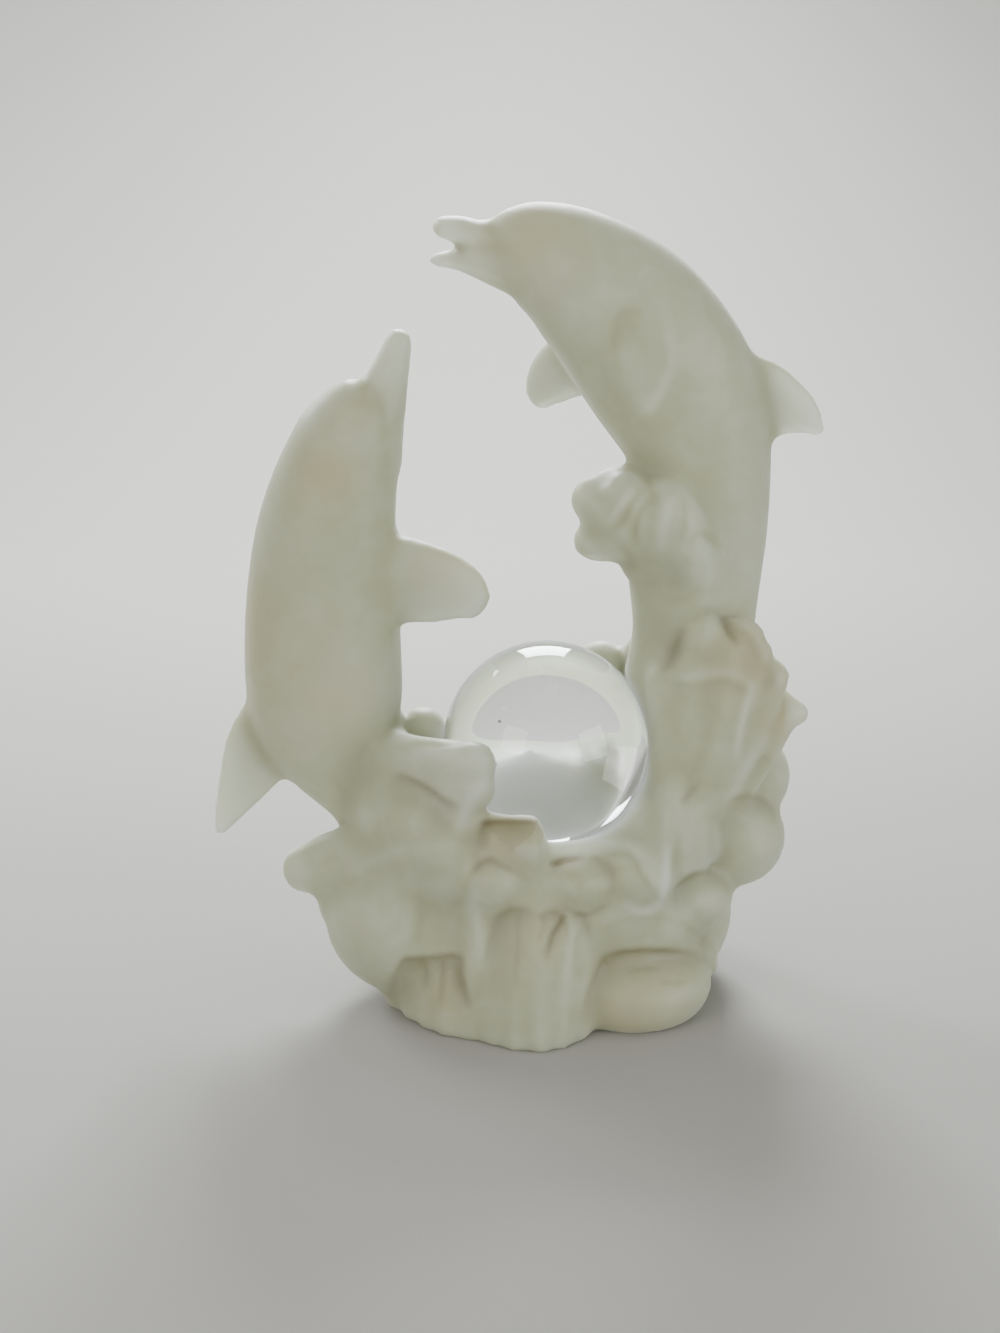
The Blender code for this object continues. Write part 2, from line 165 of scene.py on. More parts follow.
# %% [markdown]
# ## A paper sweep to stand on
# Glass shows what is round it, so the room matters as much as the glass. Product photographers bend one sheet
# of pale paper from the table up the wall, which leaves no line behind the object. It is a flat strip with
# one quarter round, made as a profile that is pulled sideways. The upright part would hide the ornament from
# someone who walks round behind it, so the sheet is one-sided: its back face lets the eye through.

# %% Floor and backdrop
SWEEP_HALF_WIDTH = 0.9
SWEEP_FRONT = -0.9
SWEEP_BEND_START = 0.22
SWEEP_BEND_RADIUS = 0.18
SWEEP_BEND_STEPS = 24
SWEEP_TOP = 0.9
PAPER_COLOUR = "#999792"
PAPER_FIBRE = 1.2 * MILLIMETRE
PAPER_FIBRE_DEPTH = 0.2 * MILLIMETRE


def make_sweep():
    """The paper: along the floor, round a quarter circle, and up."""
    profile = [(SWEEP_FRONT, 0.0), (SWEEP_BEND_START, 0.0)]
    for step in range(1, SWEEP_BEND_STEPS + 1):
        turn = math.pi / 2 * step / SWEEP_BEND_STEPS
        profile.append((SWEEP_BEND_START + SWEEP_BEND_RADIUS * math.sin(turn),
                        SWEEP_BEND_RADIUS * (1 - math.cos(turn))))
    profile.append((SWEEP_BEND_START + SWEEP_BEND_RADIUS, SWEEP_TOP))
    points = [(side, y, z) for y, z in profile for side in (-SWEEP_HALF_WIDTH, SWEEP_HALF_WIDTH)]
    faces = [(2 * row, 2 * row + 1, 2 * row + 3, 2 * row + 2) for row in range(len(profile) - 1)]
    mesh = bpy.data.meshes.new("paper_sweep")
    mesh.from_pydata(points, [], faces)
    mesh.shade_smooth()
    return add_object("paper_sweep", mesh)


sweep = make_sweep()
paper, tree, shader = new_material("matt_uncoated_paper")
place = add_node(tree, "ShaderNodeTexCoord").outputs["Object"]
fibre = add_node(tree, "ShaderNodeTexNoise", {"Vector": place, "Scale": 1 / PAPER_FIBRE, "Detail": 2.0})
lift = add_node(tree, "ShaderNodeBump", {"Height": fibre, "Strength": 0.05, "Distance": PAPER_FIBRE_DEPTH})
tree.links.new(lift.outputs["Normal"], shader.inputs["Normal"])
set_sockets(shader, {"Base Color": linear(PAPER_COLOUR), "Roughness": 0.9})
back_face = add_node(tree, "ShaderNodeNewGeometry").outputs["Backfacing"]
nothing = add_node(tree, "ShaderNodeBsdfTransparent")
one_sided = add_node(tree, "ShaderNodeMixShader", {0: back_face, 1: shader, 2: nothing})
tree.links.new(one_sided.outputs[0], tree.nodes["Material Output"].inputs["Surface"])
sweep.data.materials.append(paper)
print("paper sweep with", len(sweep.data.polygons), "faces")

# %% [markdown]
# ## Soft studio light
# Frosted glass needs broad light from several sides: it glows where it is thin and shows its carving where it
# turns away. The strongest lamp stands behind it. It lights the rims, and it lights the paper that the clear
# ball shows upside down as a bright crescent. A weaker one at the back left shows through the ball's lower
# right rim as a glint. Each lamp is a square soft box, aimed at the ornament's middle.

# %% Lights
LAMP_AIM = Vector((0.0, 0.0, 0.06))
WORLD_COLOUR = "#eff0ed"
WORLD_STRENGTH = 0.90
# each soft box: its place and width in metres, its power in watts and its colour
LAMPS = {
    "key_soft_box": ((-0.45, -0.55, 0.30), 0.36, 1.8, "#fffaf2"),
    "fill_soft_box": ((0.60, -0.42, 0.20), 0.40, 2.7, "#f6f8fc"),
    "top_soft_box": ((0.05, 0.25, 0.60), 0.40, 0.5, "#ffffff"),
    "back_soft_box": ((0.00, 0.33, 0.26), 0.16, 3.8, "#f6fbff"),
    "glint_soft_box": ((-0.36, 0.33, 0.30), 0.16, 2.4, "#f6fbff"),
}


def make_lamp(name, place, size, power, colour):
    """A square soft box that looks at the ornament."""
    lamp = bpy.data.lights.new(name, "AREA")
    lamp.shape = "SQUARE"
    lamp.size = size
    lamp.energy = power
    lamp.color = linear(colour)[:3]
    holder = add_object(name, lamp)
    holder.location = place
    aim(holder, LAMP_AIM - Vector(place))


for name, (place, size, power, colour) in LAMPS.items():
    make_lamp(name, place, size, power, colour)

world = bpy.data.worlds.new("soft_room")
world.use_nodes = True
set_sockets(world.node_tree.nodes["Background"], {"Color": linear(WORLD_COLOUR), "Strength": WORLD_STRENGTH})
bpy.context.scene.world = world
print(len(LAMPS), "soft boxes")

# %% [markdown]
# ## Shapes for a sculptor's armature
# The casting starts as many simple closed bodies that overlap, as a clay model starts from rolls and pellets.
# Two helpers make them. A loft pulls an oval along a smooth path through a few stations, and a lump is an
# egg. The curve through the stations is a Catmull-Rom curve, which passes through every point that it is
# given.

# %% Lofts and lumps
SIDEWAYS = Vector((0.0, 1.0, 0.0))
LOFT_STEPS = 6
CAP_STEPS = 7
LOFT_SIDES = 32
FINE_SIDES = 48
THINNEST = 0.05
LUMP_MERIDIANS = 32
LUMP_RINGS = 20

armature = bmesh.new()


def smooth_path(stations, steps):
    """Rows of numbers between the stations, on a curve that passes through each of them."""
    rows = [np.array(station, dtype=float) for station in stations]
    rows = [2 * rows[0] - rows[1]] + rows + [2 * rows[-1] - rows[-2]]
    path = []
    for index in range(1, len(rows) - 2):
        before, here, after, beyond = rows[index - 1:index + 3]
        bend = 2 * before - 5 * here + 4 * after - beyond
        twist = 3 * here - before - 3 * after + beyond
        for share in np.arange(steps) / steps:
            path.append(0.5 * (2 * here + (after - before) * share + bend * share ** 2 + twist * share ** 3))
    path.append(rows[-2])
    return path


def loft(stations, sides=LOFT_SIDES, caps=(1.0, 1.0)):
    """A closed body along a path. A station is (x, y, z, half width, half thickness), in grid units."""
    path = smooth_path(stations, LOFT_STEPS)
    middles = [Vector(row[:3]) for row in path]
    sizes = [(max(row[3], THINNEST), max(row[4], THINNEST)) for row in path]
    last = len(path) - 1
    start_run = (middles[1] - middles[0]).normalized()
    end_run = (middles[last] - middles[last - 1]).normalized()
    reaches = [share * sum(sizes[end]) / 2 for share, end in zip(caps, (0, last))]
    turns = [math.pi / 2 * step / CAP_STEPS for step in range(1, CAP_STEPS)]
    rings = []
    for turn in reversed(turns):
        middle = middles[0] - start_run * reaches[0] * math.sin(turn)
        rings.append((middle, start_run, sizes[0], math.cos(turn)))
    for index, middle in enumerate(middles):
        run = (middles[min(index + 1, last)] - middles[max(index - 1, 0)]).normalized()
        rings.append((middle, run, sizes[index], 1.0))
    for turn in turns:
        middle = middles[last] + end_run * reaches[1] * math.sin(turn)
        rings.append((middle, end_run, sizes[last], math.cos(turn)))
    poles = (armature.verts.new((middles[0] - start_run * reaches[0]) * GRID),
             armature.verts.new((middles[last] + end_run * reaches[1]) * GRID))
    hoops = []
    for middle, run, (width, thickness), share in rings:
        thick_way = (SIDEWAYS - run * SIDEWAYS.dot(run)).normalized()
        wide_way = run.cross(thick_way)
        hoop = []
        for side in range(sides):
            angle = 2 * math.pi * side / sides
            across = wide_way * width * math.cos(angle) + thick_way * thickness * math.sin(angle)
            hoop.append(armature.verts.new((middle + across * share) * GRID))
        hoops.append(hoop)
    for side in range(sides):
        beside = (side + 1) % sides
        armature.faces.new((poles[0], hoops[0][beside], hoops[0][side]))
        armature.faces.new((poles[1], hoops[-1][side], hoops[-1][beside]))
        for lower, upper in zip(hoops, hoops[1:]):
            armature.faces.new((lower[side], lower[beside], upper[beside], upper[side]))


def lump(centre, size, turn=(0, 0, 0)):
    """A rounded swell: an egg of three half sizes in grid units, turned by three angles in degrees."""
    spin = Euler([math.radians(angle) for angle in turn]).to_matrix().to_4x4()
    place = Matrix.Translation(Vector(centre) * GRID) @ spin @ Matrix.Diagonal([*(Vector(size) * GRID), 1.0])
    bmesh.ops.create_uvsphere(armature, u_segments=LUMP_MERIDIANS, v_segments=LUMP_RINGS, radius=1.0,
                              matrix=place)


print("a loft makes", LOFT_STEPS, "rings from station to station")

# %% [markdown]
# ## The upright dolphin
# The left dolphin stands on its tail with its beak up and its belly to the right. A dolphin's trunk is a
# smooth spindle, so one loft makes it, from the brow down to the tail stalk. The beak and the three fins are
# flat lofts that start deep inside the trunk, so that the later skin joins them without a seam.

# %% Upright dolphin
TRUNK_FLATNESS = 0.88
DOLPHIN_PLANE = 2.0


def dolphin_trunk(spine, caps):
    """A trunk from brow to tail stalk. A spine row is (x, z, half depth), in grid units."""
    rows = [(x, DOLPHIN_PLANE, z, half, half * TRUNK_FLATNESS) for x, z, half in spine]
    loft(rows, sides=FINE_SIDES, caps=caps)


def dolphin_limb(rows, caps=(1.0, 1.0)):
    """A beak, jaw or fin in the trunk's own plane. A row is (x, z, half width, half thickness)."""
    loft([(x, DOLPHIN_PLANE, z, width, thickness) for x, z, width, thickness in rows], caps=caps)


dolphin_trunk([(-20.0, 75.6, 3.4), (-20.6, 74.0, 4.9), (-21.4, 71.6, 6.1), (-22.4, 68.8, 6.8),
               (-23.7, 64.1, 7.7), (-24.8, 58.6, 8.5), (-25.3, 53.0, 9.1), (-25.5, 46.0, 9.6),
               (-25.4, 38.0, 9.7), (-24.6, 33.0, 9.0), (-22.9, 29.0, 7.4), (-20.8, 25.0, 5.8),
               (-18.8, 20.5, 4.5), (-16.5, 13.0, 4.2)], caps=(0.42, 1.0))
dolphin_limb([(-19.0, 67.0, 3.5, 4.2), (-18.2, 72.5, 3.1, 3.4), (-17.3, 77.0, 2.7, 2.6),
              (-16.4, 80.0, 2.1, 2.2), (-15.7, 82.4, 1.7, 1.9)], caps=(1.0, 0.7))
dolphin_limb([(-28.6, 34.4, 6.5, 3.0), (-33.0, 30.2, 5.1, 2.0), (-35.8, 25.2, 3.4, 1.5),
              (-37.7, 21.4, 2.0, 1.2), (-38.8, 19.2, 1.1, 0.9)])
loft([(-21.0, 1.0, 52.4, 5.9, 4.4), (-16.0, -0.5, 52.9, 5.6, 3.4), (-12.8, -1.5, 52.8, 5.2, 2.7),
      (-9.9, -2.4, 52.4, 4.5, 2.2), (-7.8, -3.0, 51.6, 3.6, 1.8), (-6.6, -3.3, 50.7, 2.5, 1.5)],
     caps=(1.0, 0.7))
loft([(-21.5, 6.0, 51.5, 5.0, 3.6), (-17.6, 9.6, 50.0, 4.4, 2.3), (-14.6, 12.4, 48.0, 3.4, 1.6),
      (-12.6, 14.2, 46.0, 1.8, 1.1)])
print("upright dolphin:", len(armature.verts), "points so far")

# %% [markdown]
# ## The arching dolphin
# The right dolphin bends over to the left with its mouth open. Its two jaws are separate small lofts with a
# gap between them, because a mouth that is only a groove would not show as a notch in the outline.

# %% Arching dolphin
dolphin_trunk([(-7.2, 93.6, 3.0), (-5.4, 93.2, 3.4), (-3.8, 93.2, 4.2), (-2.2, 93.3, 5.2), (0.2, 92.9, 6.4),
               (4.0, 91.2, 7.6), (7.8, 88.4, 8.8), (11.6, 84.8, 9.7), (14.6, 80.9, 10.1), (17.4, 76.6, 10.0),
               (19.6, 72.0, 9.3), (21.2, 67.0, 8.1), (22.6, 59.0, 6.4), (23.0, 49.9, 5.0), (22.9, 43.6, 4.4),
               (21.5, 34.0, 4.1), (19.0, 26.0, 4.2)], caps=(0.4, 1.0))
dolphin_limb([(-3.0, 93.9, 2.8, 3.2), (-6.2, 94.9, 1.9, 2.7), (-8.6, 95.8, 1.6, 2.3),
              (-10.5, 96.0, 1.4, 1.9)], caps=(1.0, 0.8))
dolphin_limb([(-2.0, 90.7, 2.9, 3.3), (-6.0, 91.7, 2.0, 2.7), (-8.6, 92.1, 1.3, 2.2),
              (-11.1, 92.1, 0.9, 1.5)])
dolphin_limb([(22.8, 73.8, 7.6, 3.0), (27.2, 74.5, 5.9, 2.0), (30.6, 73.8, 4.1, 1.5),
              (33.2, 72.5, 2.4, 1.2), (34.6, 71.2, 1.1, 0.9)])
loft([(7.0, 5.0, 79.4, 4.9, 3.0), (3.7, 7.0, 76.9, 4.0, 2.4), (1.8, 8.5, 74.3, 2.8, 1.9),
      (1.3, 9.3, 72.9, 1.7, 1.5)], caps=(1.0, 0.7))
loft([(12.3, -3.5, 86.4, 3.6, 2.2), (12.5, -5.2, 83.4, 4.0, 1.8), (13.0, -5.9, 80.0, 3.4, 1.6),
      (13.6, -6.2, 77.0, 1.8, 1.2)])
print("arching dolphin:", len(armature.verts), "points so far")

# %% [markdown]
# ## The mound and the cup
# Everything rises from one body of water, and the ball needs a cup with a wall under it. Both are lofts whose
# stations climb straight up. The mound starts below the floor, because its foot is ground flat later.

# %% Mound and cup
FLOOR_SINK = 0.008
SEAT_WALL = 0.0028
SEAT_DEPTH_SHARE = 0.70
RIM_SHARE = 0.5

sink = FLOOR_SINK / GRID
loft([(0.5, 0.0, -sink, 17.5, 16.0), (0.5, 0.0, 0.0, 18.5, 17.0), (0.8, 0.5, 6.0, 20.3, 17.8),
      (1.5, 1.5, 12.0, 21.8, 16.6), (3.0, 2.5, 18.0, 22.0, 14.0), (4.6, 2.6, 21.5, 20.0, 12.2)],
     sides=FINE_SIDES, caps=(0.05, 0.2))

cup_x, cup_y, cup_z = BALL_CENTRE / GRID
cup_radius = BALL_RADIUS / GRID
cup_wall = SEAT_WALL / GRID
cup_lip = cup_radius * SEAT_DEPTH_SHARE
cup_reach = math.sqrt((cup_radius + cup_wall) ** 2 - cup_lip ** 2)
rim_drop = cup_wall * RIM_SHARE
cup_rows = [(cup_z - cup_radius * 1.6, cup_reach * 0.5), (cup_z - cup_radius * 1.1, cup_reach * 0.9),
            (cup_z - cup_lip - rim_drop, cup_reach)]
loft([(cup_x, cup_y, z, reach, reach) for z, reach in cup_rows], sides=FINE_SIDES,
     caps=(0.5, rim_drop / cup_reach))
print("cup reaches", round(cup_reach * GRID * 1000, 1), "mm from the ball's axis")

# %% [markdown]
# ## A rule for a fluted crest
# The waves curl over in crests of rounded fingers, side by side, like the edge of a scallop shell. Each could
# be modelled by hand, but they all follow one rule: the fingers grow from a curved line of roots to a curved
# line of tips, bow outwards on the way, and end round. That is a task for Geometry Nodes, with the rule's
# numbers as inputs. Points are dealt out in rows, joined to one curve a finger, and each curve gets an oval
# skin.

# %% Crest node tree
satin_glass, satin_tree, satin_shader = new_material("acid_etched_cast_glass")

CREST_SOCKETS = {
    "Fingers": "NodeSocketInt", "Rows": "NodeSocketInt", "First Root": "NodeSocketVector",
    "Pull Root": "NodeSocketVector", "Last Root": "NodeSocketVector", "First Tip": "NodeSocketVector",
    "Pull Tip": "NodeSocketVector", "Last Tip": "NodeSocketVector", "Bow": "NodeSocketVector",
    "Root Width": "NodeSocketFloat", "Root Thickness": "NodeSocketFloat", "Tip Width": "NodeSocketFloat",
    "Tip Thickness": "NodeSocketFloat",
}
FINGER_SIDES = 24
SHARPEST_END = 0.0004


def make_crest_tree():
    """The rule for a fluted crest, as a node tree with its sizes as inputs."""
    tree = bpy.data.node_groups.new("fluted_crest", "GeometryNodeTree")
    for name, kind in CREST_SOCKETS.items():
        tree.interface.new_socket(name, in_out="INPUT", socket_type=kind)
    tree.interface.new_socket("Geometry", in_out="OUTPUT", socket_type="NodeSocketGeometry")
    given = add_node(tree, "NodeGroupInput").outputs
    number_node, vector_node = "ShaderNodeMath", "ShaderNodeVectorMath"

    # each point belongs to a finger and stands in a row of it
    number = add_node(tree, "GeometryNodeInputIndex")
    shared_out = add_node(tree, number_node, {0: number, 1: given["Rows"]}, operation="DIVIDE")
    finger = add_node(tree, number_node, {0: shared_out}, operation="FLOOR")
    row = add_node(tree, number_node, {0: number, 1: given["Rows"]}, operation="MODULO")
    last_finger = add_node(tree, number_node, {0: given["Fingers"], 1: 1.0}, operation="SUBTRACT")
    last_row = add_node(tree, number_node, {0: given["Rows"], 1: 1.0}, operation="SUBTRACT")

    # a finger runs from its place on the line of roots to its place on the line of tips
    position = add_node(tree, "GeometryNodeInputPosition")
    ends = {}
    for end in ("Root", "Tip"):
        line = add_node(tree, "GeometryNodeCurveQuadraticBezier", {
            "Resolution": last_finger, "Start": given["First " + end], "Middle": given["Pull " + end],
            "End": given["Last " + end]})
        ends[end] = add_node(tree, "GeometryNodeSampleIndex", {
            "Geometry": line, "Value": position, "Index": finger}, data_type="FLOAT_VECTOR", domain="POINT")
    length = add_node(tree, vector_node, {0: ends["Root"], 1: ends["Tip"]}, operation="DISTANCE")

    # its rounded ends reach past both places by half its size there
    caps = {}
    for end in ("Root", "Tip"):
        size = add_node(tree, number_node, {0: given[end + " Width"], 1: given[end + " Thickness"]},
                        operation="ADD")
        half = add_node(tree, number_node, {0: size, 1: 0.5}, operation="MULTIPLY")
        caps[end] = add_node(tree, number_node, {0: half, 1: length.outputs["Value"]}, operation="DIVIDE")
    before = add_node(tree, number_node, {0: caps["Root"], 1: -1.0}, operation="MULTIPLY")
    beyond = add_node(tree, number_node, {0: caps["Tip"], 1: 1.0}, operation="ADD")
    along = add_node(tree, "ShaderNodeMapRange", {"Value": row, 1: 0.0, 2: last_row, 3: before, 4: beyond})
    straight = add_node(tree, "ShaderNodeMix", {0: along, 4: ends["Root"], 5: ends["Tip"]},
                        data_type="VECTOR", clamp_factor=False).outputs[1]
    rest = add_node(tree, number_node, {0: 1.0, 1: along}, operation="SUBTRACT")
    both = add_node(tree, number_node, {0: along, 1: rest}, operation="MULTIPLY")
    hump = add_node(tree, number_node, {0: both, 1: 4.0}, operation="MULTIPLY")
    middle = add_node(tree, vector_node, {0: given["Bow"], 1: hump, 2: straight}, operation="MULTIPLY_ADD")

    # inside a rounded end the finger narrows as a half circle does
    past_tip = add_node(tree, "ShaderNodeMapRange", {"Value": along, 1: 1.0, 2: beyond, 3: 0.0, 4: 1.0})
    past_root = add_node(tree, "ShaderNodeMapRange", {"Value": along, 1: 0.0, 2: before, 3: 0.0, 4: 1.0})
    past = add_node(tree, number_node, {0: past_tip, 1: past_root}, operation="ADD")
    squared = add_node(tree, number_node, {0: past, 1: past}, operation="MULTIPLY")
    left = add_node(tree, number_node, {0: 1.0, 1: squared}, operation="SUBTRACT")
    some_left = add_node(tree, number_node, {0: left, 1: SHARPEST_END}, operation="MAXIMUM")
    rounding = add_node(tree, number_node, {0: some_left}, operation="SQRT")
    width, thickness = (
        add_node(tree, "ShaderNodeMix", {0: along, 2: given["Root " + size], 3: given["Tip " + size]})
        for size in ("Width", "Thickness"))
    flatness = add_node(tree, number_node, {0: thickness, 1: width}, operation="DIVIDE")
    half_width = add_node(tree, number_node, {0: width, 1: rounding}, operation="MULTIPLY")

    # the points are dealt out, told their size, joined to curves and given a round skin
    total = add_node(tree, number_node, {0: given["Fingers"], 1: given["Rows"]}, operation="MULTIPLY")
    grown = add_node(tree, "GeometryNodePoints", {"Count": total, "Position": middle})
    store = "GeometryNodeStoreNamedAttribute"
    for name, value in (("half_width", half_width), ("flatness", flatness)):
        grown = add_node(tree, store, {"Geometry": grown, "Name": name, "Value": value})
    grown = add_node(tree, "GeometryNodePointsToCurves", {
        "Points": grown, "Curve Group ID": finger, "Weight": row})
    for name, value in (("spine", position), ("run", add_node(tree, "GeometryNodeInputTangent"))):
        grown = add_node(tree, store, {"Geometry": grown, "Name": name, "Value": value},
                         data_type="FLOAT_VECTOR")
    hoop = add_node(tree, "GeometryNodeCurvePrimitiveCircle", {"Resolution": FINGER_SIDES, "Radius": 1.0})
    known = {name: add_node(tree, "GeometryNodeInputNamedAttribute", {"Name": name}, data_type=kind)
             for name, kind in (("half_width", "FLOAT"), ("flatness", "FLOAT"), ("spine", "FLOAT_VECTOR"),
                                ("run", "FLOAT_VECTOR"))}
    skin = add_node(tree, "GeometryNodeCurveToMesh", {
        "Curve": grown, "Profile Curve": hoop, "Scale": known["half_width"], "Fill Caps": True})

    # the round skin is squeezed to an oval, along the way that is square to the finger and to sideways
    lean = add_node(tree, vector_node, {0: known["run"], 1: tuple(SIDEWAYS)}, operation="DOT_PRODUCT")
    leaning = add_node(tree, vector_node, {0: known["run"], "Scale": lean.outputs["Value"]},
                       operation="SCALE")
    square = add_node(tree, vector_node, {0: tuple(SIDEWAYS), 1: leaning}, operation="SUBTRACT")
    thick_way = add_node(tree, vector_node, {0: square}, operation="NORMALIZE")
    offset = add_node(tree, vector_node, {0: position, 1: known["spine"]}, operation="SUBTRACT")
    reach = add_node(tree, vector_node, {0: offset, 1: thick_way}, operation="DOT_PRODUCT")
    change = add_node(tree, number_node, {0: known["flatness"], 1: 1.0}, operation="SUBTRACT")
    squeeze = add_node(tree, number_node, {0: reach.outputs["Value"], 1: change}, operation="MULTIPLY")
    move = add_node(tree, vector_node, {0: thick_way, "Scale": squeeze}, operation="SCALE")
    ovals = add_node(tree, "GeometryNodeSetPosition", {"Geometry": skin, "Offset": move})
    real = add_node(tree, "GeometryNodeRealizeInstances", {"Geometry": ovals})
    coated = add_node(tree, "GeometryNodeSetMaterial", {"Geometry": real, "Material": satin_glass})
    add_node(tree, "NodeGroupOutput", {"Geometry": coated})
    return tree


crest_tree = make_crest_tree()
CREST_INPUTS = {item.name: item.identifier for item in crest_tree.interface.items_tree
                if item.in_out == "INPUT"}
print("crest tree:", len(crest_tree.nodes), "nodes,", len(CREST_INPUTS), "inputs")


# %% [markdown]
# The next function fills the inputs for one crest, lets the modifier build it, and pours the result into the
# armature as plain mesh. The modifier's inputs are set before anything asks for its result.

# %% Grow a crest
CREST_ROWS = 26


def crest(roots, tips, fingers, root_size, tip_size, bow=(0, 0, 0)):
    """A fluted crest: three places of roots, three of tips, and a finger's half width and thickness."""
    holder = add_object("crest", bpy.data.meshes.new("crest"))
    grower = holder.modifiers.new("grow", "NODES")
    grower.node_group = crest_tree
    values = {"Fingers": fingers, "Rows": CREST_ROWS, "Bow": tuple(Vector(bow) * GRID),
              "Root Width": root_size[0] * GRID, "Root Thickness": root_size[1] * GRID,
              "Tip Width": tip_size[0] * GRID, "Tip Thickness": tip_size[1] * GRID}
    for end, line in (("Root", roots), ("Tip", tips)):
        first, middle, last = (Vector(place) * GRID for place in line)
        # a bezier arc passes through the middle place when its handle is pulled past it by this much
        values.update({"First " + end: first, "Last " + end: last,
                       "Pull " + end: middle * 2 - (first + last) / 2})
    for name, value in values.items():
        grower[CREST_INPUTS[name]] = value
    grown = holder.evaluated_get(bpy.context.evaluated_depsgraph_get())
    mesh = bpy.data.meshes.new_from_object(grown)
    armature.from_mesh(mesh)
    bpy.data.meshes.remove(mesh)
    bpy.data.objects.remove(holder)


# %% [markdown]
# ## Waves on the left and in front
# Seen from the front, a pointed wave leans out to the left over a smooth drape. Two folded crests climb over
# the ball's left side, and a fluted cascade falls to the floor in the middle. Lumps fill the spaces between
# them.

# %% Left and front waves
lump((-15.6, -6.4, 9.8), (10.0, 9.2, 8.6), (0, 25, 15))
loft([(-9.0, -7.5, 18.5, 6.0, 5.5), (-17.0, -6.0, 18.0, 5.4, 4.8), (-24.2, -3.5, 16.4, 4.5, 3.7),
      (-28.0, -2.5, 15.5, 3.1, 2.7)])
crest([(-8, -8, 18), (-9, -8, 20), (-12, -2, 24)], [(-23.6, -5.5, 11.8), (-24.5, -3, 16), (-21.0, 2.0, 20.0)],
      4, (3.4, 3.2), (2.6, 2.4), bow=(0, -1.5, 1.0))
crest([(-17, -3, 18), (-18, -3, 22), (-18, -2, 27)],
      [(-8.0, -14.4, 20.5), (-11.5, -13.2, 24.0), (-16.0, -8.6, 27.6)],
      3, (4.0, 4.0), (3.4, 3.0), bow=(-0.5, -1.5, 0.5))
crest([(-17, -3, 26), (-17, -3, 29), (-15, -2, 33)],
      [(-8.2, -13.0, 27.8), (-6.2, -13.4, 32.4), (-7.6, -12.2, 36.4)],
      3, (3.6, 3.6), (2.8, 2.4), bow=(-1.0, -1.5, 0.5))
lump((-15.0, -5.0, 26.5), (5.0, 5.0, 6.5), (0, 20, 0))
lump((-13.3, 3.5, 31.2), (3.2, 3.2, 3.6))
lump((-12.5, 3.0, 23.0), (6.0, 8.0, 8.5))
lump((-12.0, -6.0, 16.5), (8.5, 8.2, 9.5))
lump((-1.0, -8.0, 10.0), (14.0, 9.4, 11.5))
lump((10.5, -8.5, 12.0), (8.0, 8.2, 8.5))
loft([(-4.4, -13.4, 23.6, 3.9, 3.6), (0.8, -13.6, 24.0, 3.9, 3.6)], caps=(0.5, 0.3))
lump((-3.6, -12.2, 21.4), (5.2, 4.2, 3.8))
lump((-7.6, -12.0, 23.4), (3.4, 3.2, 4.2))
lump((-4.2, -14.6, 19.6), (4.4, 4.0, 3.8))
lump((1.0, -14.0, 17.0), (5.5, 4.0, 4.0))
lump((8.4, -11.8, 19.4), (5.4, 3.8, 3.8))
lump((6.3, -14.2, 19.2), (4.7, 4.0, 3.4), (0, 8, 0))
lump((13.0, -13.4, 19.2), (4.2, 4.0, 3.6))
lump((9.0, -12.5, 14.5), (8.0, 5.0, 4.5))
crest([(-3.4, -14.4, 15.0), (1.0, -15.4, 16.2), (6.2, -14.4, 14.7)],
      [(-4.2, -18.4, 0.0), (1.0, -20.4, -1.0), (5.4, -17.4, 0.0)],
      5, (1.9, 2.8), (2.0, 2.8), bow=(0, -1.2, 0))
loft([(-5.6, -13.5, 18.0, 2.0, 2.6), (-6.4, -16.2, 9.0, 2.2, 2.6), (-6.9, -17.4, -1.0, 2.4, 2.6)])
crest([(-9.5, -12.5, 12.0), (-12.5, -11.5, 12.5), (-15.5, -9.5, 11.0)],
      [(-9.6, -16.4, 0.5), (-12.6, -13.4, 0.5), (-15.8, -8.6, 0.5)],
      4, (2.4, 2.4), (2.3, 2.4), bow=(0, -0.8, 0))
lump((12.6, -9.4, 3.8), (10.0, 10.0, 6.6))
loft([(14.0, -7.0, 4.0, 4.0, 4.0), (19.0, -6.5, 4.4, 3.2, 3.0), (21.6, -6.2, 4.6, 2.2, 2.0)])
loft([(9.5, -12.6, 12.5, 3.0, 2.8), (15.5, -12.2, 12.0, 3.4, 3.2), (18.8, -9.4, 10.2, 2.4, 2.4)])
print("left and front waves:", len(armature.verts), "points so far")

# %% [markdown]
# ## Waves on the right and at the back
# On the right a stack of swells carries a tall fluted leaf, with short drips under its foot. The far side is
# not seen in the picture. It gets plainer crests of the same kind, so that the ornament is finished all
# round.

# %% Right and back waves
lump((20.0, -7.0, 14.2), (5.2, 5.4, 3.9), (0, 10, 0))
lump((25.5, -2.0, 19.8), (6.3, 6.0, 6.3), (0, 20, 0))
lump((27.4, 3.0, 26.0), (5.2, 6.0, 5.6))
lump((20.0, 2.0, 22.0), (7.0, 9.0, 9.0))
lump((18.5, 1.0, 9.0), (7.0, 10.0, 9.0))
lump((16.8, -8.4, 22.0), (6.0, 4.0, 5.4))
crest([(17.5, -8.0, 29.0), (19.5, -7.5, 27.0), (21.5, -5.5, 27.0)],
      [(16.3, -12.8, 17.8), (19.2, -11.4, 20.2), (22.0, -9.6, 20.6)],
      3, (2.5, 3.0), (1.4, 1.5), bow=(0, -0.8, 0))
lump((22.6, -2.2, 35.0), (4.4, 4.2, 10.5))
crest([(17.4, -6.0, 25.0), (20.0, -6.0, 24.0), (23.5, -4.0, 25.0)],
      [(17.2, -6.0, 42.0), (25.2, -6.5, 46.0), (30.0, -2.5, 36.8)],
      6, (2.7, 3.0), (3.3, 2.0), bow=(0, -1.6, 0))
